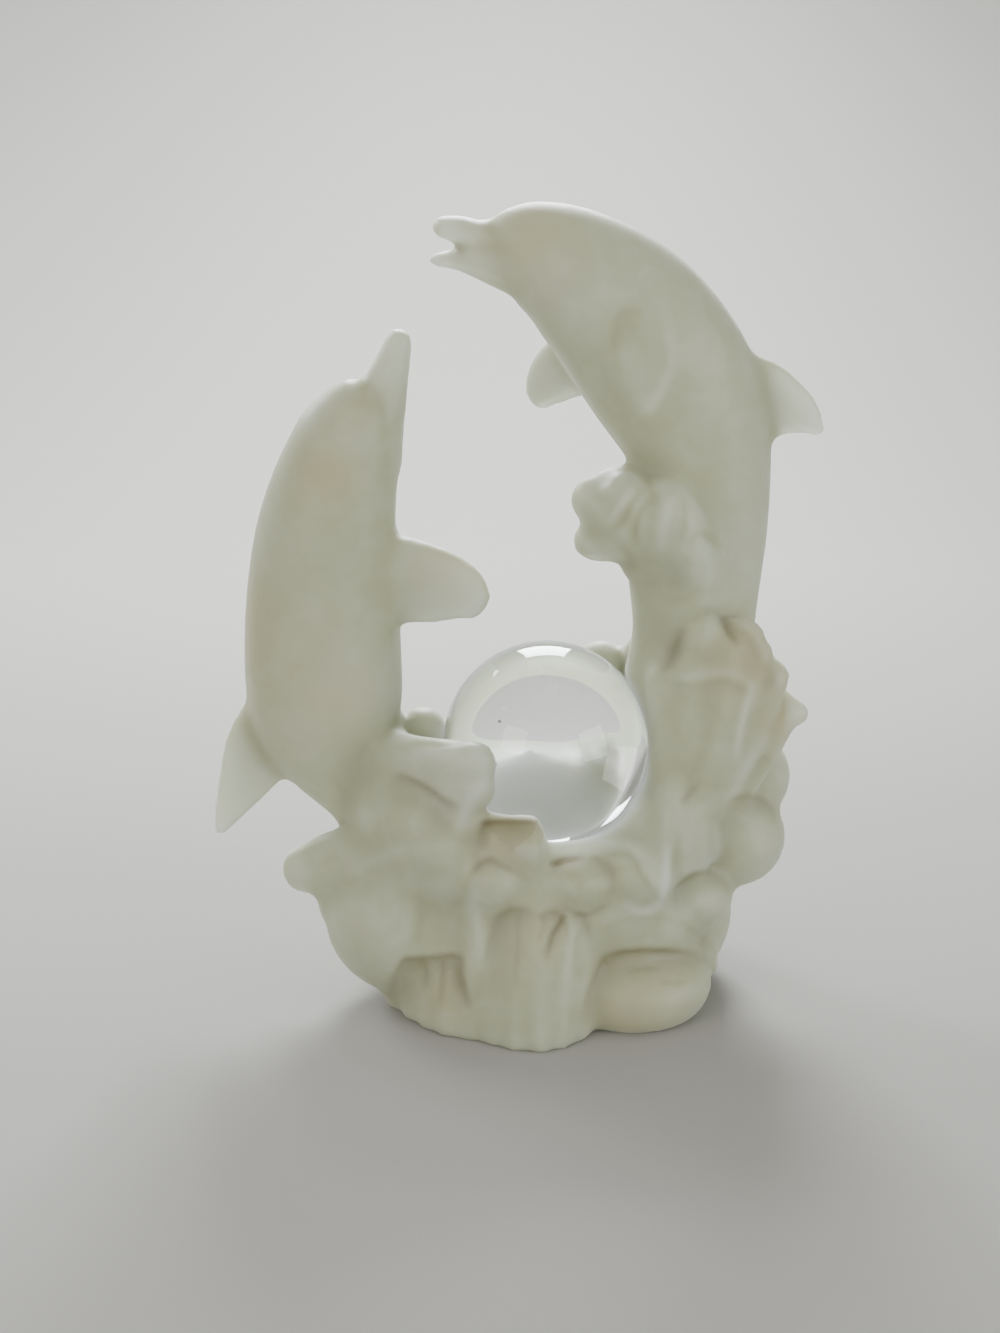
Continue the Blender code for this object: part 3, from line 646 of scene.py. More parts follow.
lump((20.6, -6.6, 47.6), (3.0, 2.2, 3.2), (0, 15, 0))
lump((25.4, -5.4, 46.6), (3.2, 2.2, 3.0), (0, -30, 0))
loft([(25.0, -4.0, 35.0, 3.2, 2.4), (30.2, -2.5, 35.9, 2.4, 1.9), (32.9, -2.0, 36.1, 1.6, 1.5)])
crest([(-12.0, 7.0, 15.0), (0.0, 9.0, 15.0), (14.0, 7.0, 20.0)],
      [(-13.5, 9.0, 24.5), (-1.0, 12.0, 22.0), (13.0, 11.0, 35.0)],
      6, (3.8, 3.6), (3.4, 3.0), bow=(0, 2.5, 0))
lump((9.0, 9.5, 37.6), (4.0, 3.2, 3.8))
crest([(-13.0, 9.0, 14.0), (0.5, 12.0, 16.0), (14.0, 9.0, 14.0)],
      [(-15.0, 12.5, 1.0), (0.5, 17.5, 0.0), (15.0, 12.5, 1.0)], 7, (3.2, 3.2), (3.4, 3.4), bow=(0, 2.0, 0))
lump((18.0, 5.0, 34.0), (6.5, 5.2, 13.5))
crest([(12.0, 6.0, 24.0), (18.0, 7.0, 24.0), (22.0, 4.0, 24.0)],
      [(15.0, 8.0, 41.0), (21.0, 8.6, 44.0), (27.5, 6.0, 39.5)], 4, (3.4, 3.4), (3.0, 2.4), bow=(0, 2.0, 0))
print("right and back waves:", len(armature.verts), "points so far")

# %% [markdown]
# ## The splash
# A column of water climbs in front of the arching dolphin's tail and breaks at the top into a curled, ribbed
# splash. The column is two lofts, and the splash is two short crests that curl to the left and over the
# front, with a roll along its top and a small pointed tip.

# %% Splash
loft([(15.0, -2.2, 26.0, 5.4, 4.6), (16.2, -1.8, 36.0, 5.7, 4.2), (18.2, -1.6, 46.0, 5.9, 4.0),
      (17.9, -1.6, 55.0, 6.2, 4.4), (17.2, -1.8, 61.0, 5.4, 4.4)])
loft([(20.5, 0.2, 28.0, 5.5, 4.6), (20.8, 0.2, 40.0, 5.2, 4.4), (21.0, 0.2, 52.0, 5.2, 4.4),
      (20.0, 0.2, 62.0, 5.6, 4.6)])
lump((14.2, -3.0, 57.2), (3.4, 3.4, 4.2), (0, 30, 0))
crest([(15.0, -2.5, 57.5), (16.5, -4.0, 57.0), (19.5, -4.5, 56.5)],
      [(8.4, -3.5, 59.0), (9.2, -5.0, 64.6), (16.4, -5.8, 64.8)],
      4, (3.0, 3.2), (2.8, 2.6), bow=(0, -1.5, 1.0))
loft([(16.0, -2.0, 61.4, 4.0, 3.6), (11.0, -2.5, 63.8, 4.1, 3.4), (7.4, -3.0, 63.8, 2.9, 2.5)])
crest([(16.5, -3.0, 56.5), (18.5, -3.5, 56.0), (20.5, -3.5, 56.5)],
      [(15.3, -6.2, 63.4), (18.2, -6.8, 61.8), (19.8, -5.8, 59.6)],
      3, (2.4, 2.8), (2.0, 2.0), bow=(0, -1.8, 0))
loft([(18.5, -3.2, 57.2, 2.0, 2.0), (21.0, -4.0, 57.6, 1.6, 1.6), (23.0, -4.2, 57.6, 0.8, 0.8)])
print("armature:", len(armature.verts), "points,", len(armature.faces), "faces")

# %% [markdown]
# ## One skin over everything
# Real glass is one body, so the overlapping shapes need one skin. A voxel remesh lays it, as if the clay had
# been dipped. The seat for the ball and the flat foot are then cut, and a second remesh gives the cut edges
# the small round that fire and acid leave. A few rounds of smoothing melt the creases between the shapes.

# %% Skin, seat and foot
SKIN_CELL = 0.67 * MILLIMETRE
SEAT_CLEARANCE = 0.3 * MILLIMETRE
MELT_ROUNDS = 5
CUTTER_SIZE = GROUP_HEIGHT * 1.5


def add_cutter(name):
    """Puts the last primitive aside as a cutter."""
    cutter = bpy.context.object
    cutter.name = name
    cutter.hide_render = True
    cutter.display_type = "WIRE"
    return cutter


bpy.ops.mesh.primitive_cube_add(size=CUTTER_SIZE, location=(0, 0, -CUTTER_SIZE / 2))
floor_cutter = add_cutter("floor_cutter")
bpy.ops.mesh.primitive_uv_sphere_add(segments=96, ring_count=48, radius=BALL_RADIUS + SEAT_CLEARANCE,
                                     location=BALL_CENTRE)
seat_cutter = add_cutter("seat_cutter")

clay_mesh = bpy.data.meshes.new("clay")
armature.to_mesh(clay_mesh)
armature.free()
clay = add_object("clay", clay_mesh)
for name, cutters in (("first_skin", (seat_cutter, floor_cutter)), ("second_skin", ())):
    skin = clay.modifiers.new(name, "REMESH")
    skin.mode = "VOXEL"
    skin.voxel_size = SKIN_CELL
    for cutter in cutters:
        cut = clay.modifiers.new(cutter.name, "BOOLEAN")
        cut.operation = "DIFFERENCE"
        cut.solver = "EXACT"
        cut.object = cutter
casting_mesh = bpy.data.meshes.new_from_object(clay.evaluated_get(bpy.context.evaluated_depsgraph_get()))
casting_mesh.name = "frosted_casting"
for spent in (clay, floor_cutter, seat_cutter):
    bpy.data.objects.remove(spent)
print("skin:", len(casting_mesh.vertices), "points,", len(casting_mesh.polygons), "faces")

# %% [markdown]
# ## Working on the skin as numbers
# From here the skin is shaped like a jeweller shapes wax: a little off here, a little on there. Moving a
# hundred thousand points one by one is slow, so the points are kept as arrays and moved all at once.
# Smoothing moves each point towards the mean of its neighbours, and also serves to blur any measure that is
# kept for each point.

# %% Melt the creases
def read_points(mesh):
    """The places of a mesh's points, as rows."""
    places = np.empty(len(mesh.vertices) * 3)
    mesh.vertices.foreach_get("co", places)
    return places.reshape(-1, 3)


def write_points(mesh, places):
    """Moves the points, and returns the outward direction at each of them."""
    mesh.vertices.foreach_set("co", places.ravel())
    mesh.update()
    outward = np.empty(len(mesh.vertices) * 3)
    mesh.vertex_normals.foreach_get("vector", outward)
    return outward.reshape(-1, 3)


def soften(values, rounds, share=0.5):
    """Blurs the values of the points over their neighbours."""
    for _ in range(rounds):
        columns = values if values.ndim == 2 else values[:, None]
        total = np.stack([np.bincount(edges[:, 0], column[edges[:, 1]], len(values))
                          + np.bincount(edges[:, 1], column[edges[:, 0]], len(values))
                          for column in columns.T], axis=1)
        mean = (total / neighbours[:, None]).reshape(values.shape)
        values = values + (mean - values) * share
    return values


edges = np.empty(len(casting_mesh.edges) * 2, dtype=np.int64)
casting_mesh.edges.foreach_get("vertices", edges)
edges = edges.reshape(-1, 2)
neighbours = np.bincount(edges.ravel(), minlength=len(casting_mesh.vertices))
points = soften(read_points(casting_mesh), MELT_ROUNDS)
outward = write_points(casting_mesh, points)
print("melted", MELT_ROUNDS, "rounds")

# %% [markdown]
# ## Slip in the gaps
# The photograph shows shallow relief: the gaps between the waves are soft valleys, and fins grow out of the
# trunks without a seam. A potter gets this by brushing thin clay, called slip, into the gaps. In numbers it
# is smoothing that may only add and never take away: each point moves to the mean of its neighbours if that
# leads outwards. The waves get full coats, and the smooth trunks above them thinner ones.

# %% Slip
SLIP_COATS = 60
SLIP_TOP = 50 * GRID
SLIP_SHARE = 0.5
SLIP_SHARE_ABOVE = 0.175
SLIP_SHARE_SPLASH = 0.4
SPLASH_PLACE = (13.0, -9.0, 60.0)
SPLASH_REACH = 12.0
COATS_TO_A_TURN = 6

coat_share = np.where(points[:, 2] < SLIP_TOP, SLIP_SHARE, SLIP_SHARE_ABOVE)
coat_share[np.linalg.norm(points / GRID - SPLASH_PLACE, axis=1) < SPLASH_REACH] = SLIP_SHARE_SPLASH
for coat in range(1, SLIP_COATS + 1):
    move = soften(points, 1, 1.0) - points
    outwards = np.maximum(np.einsum("ij,ij->i", move, outward), 0)
    points = points + outward * (outwards * coat_share)[:, None]
    if coat % COATS_TO_A_TURN == 0:
        outward = write_points(casting_mesh, points)
points = soften(points, 2)
outward = write_points(casting_mesh, points)
print("brushed on", SLIP_COATS, "coats")

# %% [markdown]
# ## Which points the eye sees
# The fine carving on the front is laid out in the picture: a place is given as so far right and so far up, on
# an upright sheet through the middle of the ornament. Each skin point gets its place on that sheet, along the
# line from the eye. Only points that the eye can really see are carved, so a line on the front leaves the
# back alone.

# %% Places in the picture
RAY_LIFT = 0.4 * MILLIMETRE
SEEN_ROUNDS = 3


def in_picture(places):
    """Where the line from the eye through each point crosses the upright sheet, in grid units."""
    eye = np.array(EYE)
    reach = -eye[1] / (places[:, 1] - eye[1])
    crossing = eye + (places - eye) * reach[:, None]
    return crossing[:, [0, 2]] / GRID


def seen_from_eye(places, outward):
    """One for each point that faces the eye with nothing in front of it, and zero for the others."""
    tree = BVHTree.FromPolygons(places.tolist(), [tuple(face.vertices) for face in casting_mesh.polygons])
    seen = np.zeros(len(places))
    eye = np.array(EYE)
    facing = np.einsum("ij,ij->i", eye - places, outward) > 0
    for index in np.flatnonzero(facing):
        start = Vector(places[index] + outward[index] * RAY_LIFT)
        if tree.ray_cast(start, (EYE - start).normalized())[0] is None:
            seen[index] = 1.0
    return seen


picture = in_picture(points)
seen = soften(seen_from_eye(points, outward), SEEN_ROUNDS)
print("points seen from the front:", int((seen > 0.5).sum()))

# %% [markdown]
# ## The carver's hollows
# The waves are a shell of scooped hollows, as a round chisel leaves them. A hollow is deepest just under its
# upper edge and runs out below. Olive brown painted shade gathers in it, and a thin brown painted shadow runs
# along that edge, where the overhang would shade it. So a hollow is given by its edge, drawn from left to
# right in the picture, by how far it runs out under the edge, by its depth in millimetres, by how much
# painted shade gathers in it, and by how dark its painted shadow line is. A chisel goes in and comes out
# gently, so both are strongest halfway along the edge and fade out at its ends.

# %% Hollows
HOLLOWS = [
    # the folded crests before the ball's left side, and the drape below them
    ([(-17.4, 27.2), (-15.6, 27.0), (-12.7, 25.5), (-10.5, 23.8), (-7.6, 22.4)], 2.5, 0.50, 0.30, 0.62),
    ([(-20.0, 18.9), (-18.6, 21.3), (-16.7, 22.0), (-14.2, 20.3)], 2.5, 0.25, 0.20, 0.15),
    # the square block before the ball, and the arch under it
    ([(-6.9, 17.2), (-6.1, 20.0), (-5.1, 21.0), (0.6, 21.1), (1.8, 20.4), (2.2, 17.8)],
     3.4, 0.45, 1.00, 0.85),
    ([(-8.6, 11.6), (-7.0, 14.3), (-5.2, 15.7), (-3.2, 14.9), (0.6, 12.8)], 2.0, 0.30, 0.20, 0.60),
    # the oval, and the corner beside it
    ([(2.2, 13.6), (3.4, 15.4), (6.3, 16.1), (8.8, 16.1), (11.0, 14.0), (10.6, 9.8)], 6.0, 0.35, 0.65, 0.28),
    ([(7.8, 16.2), (12.4, 16.6), (14.3, 13.5), (17.0, 9.4)], 2.0, 0.40, 0.35, 0.45),
    # the cascade in the middle
    ([(-7.2, -3.5), (-5.9, 2.6), (-4.3, 8.0), (-1.4, 9.3), (1.8, 8.2)], 4.0, 0.55, 0.40, 0.20),
    ([(0.8, 7.6), (2.6, 8.8), (4.4, 7.9), (5.6, 4.0)], 2.5, 0.40, 0.50, 0.35),
    ([(4.6, 6.6), (5.4, 7.9), (7.0, 8.1), (7.9, 4.3), (7.1, -1.4)], 3.5, 0.30, 0.15, 0.25),
    # the scoop at the lower left, the big shell at the lower right, and its roof
    ([(-18.8, -3.8), (-17.4, -0.4), (-15.8, 2.1), (-12.2, 2.5), (-8.8, 2.6), (-8.1, 0.2), (-7.2, -5.2)],
     4.5, 0.70, 0.45, 0.40),
    ([(6.0, -7.4), (7.2, -2.8), (8.7, 1.0), (10.4, 3.0), (14.4, 3.5), (19.4, 3.2), (22.6, 2.0), (25.4, -2.0)],
     5.0, 0.50, 0.40, 0.38),
    ([(7.4, 5.0), (11.3, 7.5), (17.0, 7.8), (21.3, 5.8), (24.8, 2.0)], 2.5, 0.25, 0.18, 0.20),
    # the swells down the right side
    ([(26.0, 25.4), (28.8, 29.6), (31.4, 27.4)], 2.5, 0.25, 0.15, 0.25),
    ([(22.6, 20.4), (24.8, 23.8), (27.9, 24.3), (30.4, 22.3), (31.4, 18.0)], 2.5, 0.45, 0.20, 0.42),
    ([(17.4, 10.2), (19.6, 13.5), (22.5, 14.1), (25.1, 12.0), (25.6, 9.0)], 2.5, 0.40, 0.20, 0.35),
    # the leaf: two hollows at its top and the long flute below
    ([(16.0, 41.0), (17.9, 45.6), (20.5, 48.4), (22.4, 48.4), (24.0, 45.6)], 2.5, 0.40, 0.25, 0.22),
    ([(22.8, 48.6), (25.3, 47.2), (27.5, 45.5), (29.3, 42.5), (30.6, 38.5)], 4.0, 0.35, 0.45, 0.15),
    ([(16.0, 40.0), (20.0, 39.4), (24.0, 39.8), (27.4, 38.0)], 6.0, 0.40, 0.15, 0.10),
    # the flipper that lies on the arching dolphin's flank
    ([(9.4, 81.6), (9.9, 85.2), (11.2, 86.8), (13.4, 86.6)], 2.5, 0.25, 0.40, 0.20),
]
ROUTE_STEPS = 6
EDGE_WIDTH = 0.35
EDGE_LINE_WIDTH = 0.45
HOLLOW_REACH = 3.0


def measure_route(route, margin):
    """The points near a route, how far they are from it, on which side, and how strongly it works there."""
    line = np.array(smooth_path(route, ROUTE_STEPS))
    near = np.flatnonzero(np.all((picture > line.min(0) - margin) & (picture < line.max(0) + margin), axis=1))
    places = picture[near]
    away, side, way = np.full(len(near), np.inf), np.zeros(len(near)), np.zeros(len(near))
    for number, (start, end) in enumerate(zip(line, line[1:])):
        along = end - start
        share = np.clip(((places - start) @ along) / (along @ along), 0, 1)
        offset = places - start - share[:, None] * along
        distance = np.linalg.norm(offset, axis=1)
        closer = distance < away
        away[closer] = distance[closer]
        side[closer] = (along[1] * offset[:, 0] - along[0] * offset[:, 1])[closer]
        way[closer] = ((number + share) / (len(line) - 1))[closer]
    return near, away, side, np.sin(math.pi * way)


def work_hollow(route, run_out):
    """How strongly a hollow with its painted shade, and the painted shadow line along its edge, work at each
    point, with nothing above the edge.
    """
    near, away, side, middle = measure_route(route, run_out * HOLLOW_REACH)
    strength, line = np.zeros(len(picture)), np.zeros(len(picture))
    below = (1 - np.exp(-away / EDGE_WIDTH)) * np.exp(-away / run_out)
    strength[near] = np.where(side > 0, below, 0) * np.sqrt(middle) * seen[near]
    line[near] = np.exp(-(away / EDGE_LINE_WIDTH) ** 2) * middle * seen[near]
    return strength, line


cut_depth = np.zeros(len(points))
hollow_shade, edge_shadow_lines = np.zeros(len(points)), np.zeros(len(points))
# each hollow is cut in, filled with painted shade, and darkened along its upper edge by a painted shadow line
for route, run_out, depth, painted_shade, painted_shadow_line in HOLLOWS:
    strength, line = work_hollow(route, run_out)
    cut_depth += strength * depth * MILLIMETRE
    hollow_shade = np.maximum(hollow_shade, strength * painted_shade)
    edge_shadow_lines = np.maximum(edge_shadow_lines, line * painted_shadow_line)
painted_shade_and_light = hollow_shade + edge_shadow_lines
print(len(HOLLOWS), "hollows, deepest", round(cut_depth.max() * 1000, 2), "mm")

# %% [markdown]
# ## The carver's lines
# Finer lines go over the hollows: creases and ribs with painted shade, and ridges with painted highlights. A
# line is a few places in the picture, how wide it is, how deep it goes, and how much painted shade it gets. A
# negative depth and shade raise a ridge with a painted highlight. A line is deepest along its middle and
# fades out to both sides and to both ends.

# %% Lines
LINES = [
    # the upright dolphin: the crease between beak and brow, and the edge of the belly
    ([(-19.8, 77.6), (-18.4, 76.4), (-17.8, 73.6), (-17.6, 69.4)], 0.5, 0.10, 0.15),
    ([(-17.5, 69.1), (-17.5, 64.1), (-16.8, 59.1)], 0.8, 0.07, 0.06),
    # the arching dolphin: the corner of the mouth, the upper jaw, and the edge of the flipper
    ([(-9.6, 94.2), (-6.6, 94.0), (-2.6, 93.6)], 0.7, 0.15, 0.12),
    ([(-10.8, 96.2), (-8.9, 95.4), (-6.4, 94.6)], 0.6, -0.06, -0.40),
    ([(-9.0, 92.7), (-5.0, 92.0), (-1.0, 89.6)], 1.3, -0.06, -0.22),
    ([(9.7, 84.6), (9.9, 81.5), (10.9, 76.6)], 0.5, 0.10, 0.14),
    ([(16.3, 84.4), (16.7, 80.1), (15.7, 77.2), (14.5, 74.4)], 0.7, -0.15, -0.28),
    # the folded crests before the ball's left side: an edge, a pale fold below it and one that slants down
    ([(-15.4, 31.6), (-11.4, 31.1), (-7.8, 31.6)], 0.4, 0.20, 0.45),
    ([(-14.7, 30.1), (-11.4, 30.1), (-8.1, 30.4)], 0.5, -0.20, -0.35),
    ([(-5.2, 27.0), (-7.7, 23.1), (-9.4, 18.6)], 0.8, -0.25, -0.30),
    ([(-12.5, 22.6), (-11.4, 21.2), (-10.0, 19.4)], 1.3, 0.15, 0.11),
    # ribs and streaks in the cascade
    ([(-8.2, 18.0), (-7.0, 10.2), (-5.9, 2.0), (-5.7, -5.0)], 0.8, -0.15, -0.20),
    ([(-1.3, 9.0), (-1.6, 3.0), (-1.8, -2.4)], 0.5, 0.12, 0.25),
    ([(4.6, 8.4), (3.8, 6.9), (2.8, 5.0), (2.1, 1.8)], 0.45, 0.20, 0.60),
    ([(1.4, 8.6), (1.7, 6.6), (1.2, 4.4)], 0.5, 0.12, 0.30),
    ([(5.3, 8.6), (5.2, 4.0), (4.8, -1.0)], 0.5, -0.15, -0.30),
    # ribs in the scoop at the lower left
    ([(-13.8, 2.2), (-13.2, 0.0), (-13.4, -2.6)], 0.5, 0.17, 0.24),
    ([(-11.2, 1.8), (-11.1, -1.0), (-11.5, -4.4)], 0.5, 0.17, 0.24),
    ([(-9.6, 1.4), (-8.9, -1.6), (-7.5, -5.0)], 0.8, 0.20, 0.30),
    # the lip and the two small creases in the big shell
    ([(10.2, 2.0), (13.4, 3.0), (21.6, 3.0)], 0.4, 0.12, 0.26),
    ([(12.2, 0.2), (14.6, 0.9), (16.9, 0.7)], 0.4, 0.10, 0.22),
    ([(16.5, -0.8), (18.4, -1.2), (20.5, -1.0)], 0.4, 0.10, 0.25),
    # the creases above its roof, the pale ridge beside them, and the oval's upper edge
    ([(3.0, 9.6), (7.0, 8.1), (10.4, 9.9)], 0.45, 0.15, 0.25),
    ([(11.6, 9.8), (14.2, 8.5), (16.4, 10.0)], 0.6, -0.15, -0.35),
    ([(2.4, 14.9), (4.4, 15.8), (7.0, 16.3)], 0.5, 0.25, 1.00),
    # the leaf: its dark corner, the pale rim of its ear, and the two pale folds down its side
    ([(18.8, 46.8), (17.4, 43.2), (15.4, 38.8)], 0.9, 0.25, 0.24),
    ([(23.5, 48.2), (24.2, 46.4), (25.6, 44.0)], 0.5, 0.20, 0.45),
    ([(16.2, 38.0), (18.4, 39.8), (21.0, 40.3), (25.2, 40.4), (28.2, 37.6)], 0.8, -0.12, -0.15),
    ([(27.4, 39.6), (26.5, 35.8), (25.9, 32.5), (25.5, 28.6)], 0.5, -0.20, -0.36),
    ([(29.6, 32.8), (27.3, 28.8), (25.9, 26.2), (23.2, 20.8)], 0.9, -0.25, -0.30),
    ([(22.4, 37.4), (21.5, 31.7), (19.9, 25.8)], 1.2, 0.17, 0.09),
    ([(18.8, 23.2), (19.8, 24.4), (20.7, 25.9)], 0.6, 0.20, 0.38),
    # the drips under the leaf
    ([(22.8, 21.2), (23.5, 17.0), (22.0, 14.9), (19.2, 14.2)], 0.6, -0.20, -0.38),
    ([(17.0, 18.0), (17.1, 13.0), (16.2, 8.8)], 0.6, -0.20, -0.50),
    ([(18.4, 20.0), (18.4, 17.0), (18.3, 13.6)], 0.6, 0.15, 0.16),
    # the splash: grooves that fan out from its top, a pale rib between them, and the pointed tip
    ([(13.6, 64.4), (12.4, 62.6), (11.3, 60.4), (9.4, 58.6)], 0.5, 0.25, 0.22),
    ([(12.4, 64.4), (11.0, 62.4), (9.6, 60.0)], 0.5, -0.12, -0.35),
    ([(15.2, 64.0), (13.6, 61.8), (12.6, 59.2), (12.4, 56.8)], 0.5, 0.23, 0.20),
    ([(14.9, 63.4), (14.3, 59.8), (14.5, 57.0)], 0.5, 0.15, 0.08),
    ([(17.0, 63.4), (16.3, 60.4), (15.8, 56.2)], 0.8, -0.20, -0.45),
    ([(18.0, 63.4), (18.6, 60.8), (18.1, 57.2)], 0.5, 0.20, 0.20),
    ([(19.0, 56.8), (20.6, 58.6), (22.2, 57.6), (24.2, 56.0)], 0.6, 0.20, 0.26),
    ([(10.8, 57.2), (11.9, 55.5), (12.4, 53.4)], 0.6, 0.17, 0.16),
    # the pointed wave and the fold down the drape
    ([(-26.1, 14.5), (-25.2, 15.8), (-23.8, 16.4)], 0.6, 0.12, 0.16),
    ([(-23.2, 13.7), (-19.7, 15.4), (-16.2, 17.0), (-12.2, 17.4)], 0.8, -0.15, -0.15),
    ([(-13.5, 14.0), (-14.1, 6.1), (-16.0, 1.6)], 0.8, 0.12, 0.10),
    ([(-16.0, 13.4), (-12.2, 11.8), (-9.2, 10.0), (-6.0, 9.6), (-3.0, 10.2)], 1.6, -0.35, -0.26),
]
LINE_REACH = 2.6

# each line is cut in or raised, and gets painted shade in its groove or a painted highlight on its ridge
for route, half_width, depth, darker in LINES:
    near, away, side, middle = measure_route(route, half_width * LINE_REACH)
    strength = np.exp(-(away / half_width) ** 2) * np.sqrt(middle) * seen[near]
    cut_depth[near] += strength * depth * MILLIMETRE
    painted_shade_and_light[near] += strength * darker
points = points - outward * cut_depth[:, None]
outward = write_points(casting_mesh, points)
print(len(LINES), "lines, deepest point", round(cut_depth.max() * 1000, 2), "mm")

# %% [markdown]
# ## Room for the ball, and a flat foot
# Smoothing and carving may have pushed glass into the ball's room or below the floor. Each point that stands
# inside the ball's clearance is pressed back out along the line from the ball's middle, and the foot is set
# flat.

# %% Press the seat and the foot
FOOT_FLAT = 0.12 * MILLIMETRE
SPARE = 0.6 * MILLIMETRE

from_ball = points - np.array(BALL_CENTRE)
distance = np.linalg.norm(from_ball, axis=1)
room = BALL_RADIUS + SEAT_CLEARANCE
pressed = distance < room
points[pressed] = np.array(BALL_CENTRE) + from_ball[pressed] / distance[pressed, None] * room
points[points[:, 2] < FOOT_FLAT, 2] = 0.0
points = np.clip(points, np.array(cad_low) - SPARE, np.array(cad_high) + SPARE)
points[:, 2] = np.maximum(points[:, 2], 0.0)
outward = write_points(casting_mesh, points)
print("pressed", int(pressed.sum()), "points out of the ball's room")

# %% [markdown]
# ## What the glass knows about itself
# The finish reads five measures that change over the surface. How thin the glass is, because thin edges get a
# painted glow. How hollow it is, because recesses get painted shade and swells a painted highlight. Where the
# ball's seat is ground white, a white that also paints in the light which the ball focuses there. How much
# painted shade and painted highlight the carving and the painted glow patches give it. And where the melt
# took on a warm tint. Thickness is measured with a ray through the glass, and hollowness by comparing the
# skin with a smoother copy of itself. Tints and painted glow are soft round patches, each a place and a reach
# in grid units.

# %% Measures for the finish
RAY_DIP = 0.2 * MILLIMETRE
THIN_SCALE = 5.0 * MILLIMETRE
THIN_ROUNDS = 6
HOLLOW_ROUNDS = 40
HOLLOW_SCALE = 0.35 * MILLIMETRE
# reach of the seat's ground white, which also paints in the light that the ball focuses there
SEAT_GROUND_AND_CAUSTIC = 1.0 * MILLIMETRE
WARM_PATCHES = [((-33, 2, 45), 8.0), ((-25, -5, 67), 4.0), ((-21, -3, 76), 3.0), ((-1, -4, 96), 6.0),
                ((-10, -5, 56), 4.0), ((27, -6, 45), 5.0), ((30, -4, 37), 4.0), ((1, -17, 12), 3.0),
                ((-3, -17, 26), 3.5), ((-9, -16, 4), 3.0), ((13, -16, 2), 6.0), ((-24, -6, 40), 5.0)]
# soft patches of painted glow, where the glass would glow with light from behind and below
PAINTED_GLOW_PATCHES = [((-21, -5, 40), 8.0), ((4, -5, 88), 6.0), ((23, -2, 58), 9.0), ((4, 6, 76), 5.0),
                ((13, -13, 15), 7.0), ((-16, -10, 16), 7.0), ((-11, -2, 50), 3.0)]
PAINTED_GLOW_SHARE = 0.22


def glass_thickness(places, outward):
    """The way through the glass behind each point, straight in."""
    tree = BVHTree.FromPolygons(places.tolist(), [tuple(face.vertices) for face in casting_mesh.polygons])
    through = np.full(len(places), GROUP_HEIGHT)
    for index, (place, way) in enumerate(zip(places, outward)):
        hit = tree.ray_cast(Vector(place - way * RAY_DIP), Vector(-way))
        if hit[3] is not None:
            through[index] = hit[3]
    return through


def keep_measure(name, values):
    """Stores a measure on the mesh, where the finish reads it by name."""
    kept = casting_mesh.attributes.new(name, "FLOAT", "POINT")
    kept.data.foreach_set("value", values.astype(np.float32))
    print(name, "from", round(float(values.min()), 2), "to", round(float(values.max()), 2))


def patch_strength(patches):
    """How strongly a list of soft round patches shows at each point."""
    return np.clip(sum(np.exp(-np.sum((points / GRID - np.array(place)) ** 2, axis=1) / reach ** 2)
                       for place, reach in patches), 0, 1)


# thin glass gets a painted glow in the finish, standing in for the light that shines through it
thin = soften(np.exp(-glass_thickness(points, outward) / THIN_SCALE), THIN_ROUNDS)
smoother = soften(points, HOLLOW_ROUNDS)
hollow = np.einsum("ij,ij->i", smoother - points, outward) / HOLLOW_SCALE
# the seat is ground white, and the same white is painted light that stands for the light the ball focuses
# onto it
seat_distance = np.linalg.norm(points - np.array(BALL_CENTRE), axis=1) - room
ground = np.exp(-(np.maximum(seat_distance, 0) / SEAT_GROUND_AND_CAUSTIC) ** 2)
keep_measure("ground", ground)
keep_measure("thin", thin)
keep_measure("hollow", np.clip(soften(hollow, 2), -1, 1) * (1 - ground))
# one signed measure: painted shade from hollows and creases, painted highlight from ridges, and painted glow
# from the patches
keep_measure("painted_shade_and_light", painted_shade_and_light - patch_strength(PAINTED_GLOW_PATCHES) * PAINTED_GLOW_SHARE)
keep_measure("warm", patch_strength(WARM_PATCHES))

# %% [markdown]
# ## The casting as a piece
# The finished mesh becomes the piece that stands for the plain solid. It stays at the origin, because its
# place is in its points.

# %% Casting piece
casting_mesh.shade_smooth()
casting = add_object("frosted_casting", casting_mesh)
casting_mesh.materials.clear()
casting_mesh.materials.append(satin_glass)
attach(casting, "root")
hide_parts("dolphins_and_waves")
casting_mesh.calc_loop_triangles()
print("casting:", len(casting_mesh.loop_triangles), "triangles")

# %% [markdown]
# ## Acid-etched cast glass
# Etching leaves a skin of tiny pits that scatters light, so the glass looks like satin and nothing behind it
# is sharp. Light also wanders through the body and comes out elsewhere, which is subsurface scattering, and a
# part of it goes straight through. The colour is a pale grey green. Painted shade makes hollows and creases
# olive brown, painted glow makes thin edges nearly white, and ridges get painted highlights. The seat's
# ground white also paints in the light that the ball focuses there.

# %% Frosted finish
# the pale colour serves the random veils and the painted glow and highlights, the olive the painted shade,
# and the ground white the seat with its painted caustic light
MILKY = "#b2b594"
PALE = "#e4e8df"
GROUND_AND_CAUSTIC_WHITE = "#f2f4f1"
SHADE_OLIVE = "#6a5b38"
WARM = "#b6ad7e"
CLOUD_SIZE = 14 * MILLIMETRE
VEIL_SIZE = 5 * MILLIMETRE
RUB_SIZE = 2.5 * MILLIMETRE
RUB_DEPTH = 0.05 * MILLIMETRE
# the real pits are about 0.05 mm across, too fine for this picture, so they are drawn as 0.5 mm
PIT_SIZE = 0.5 * MILLIMETRE
PIT_DEPTH = 0.05 * MILLIMETRE
SCATTER_REACH = 5 * MILLIMETRE
HOLLOW_SHARE = 0.20
GLASS_IOR = 1.5

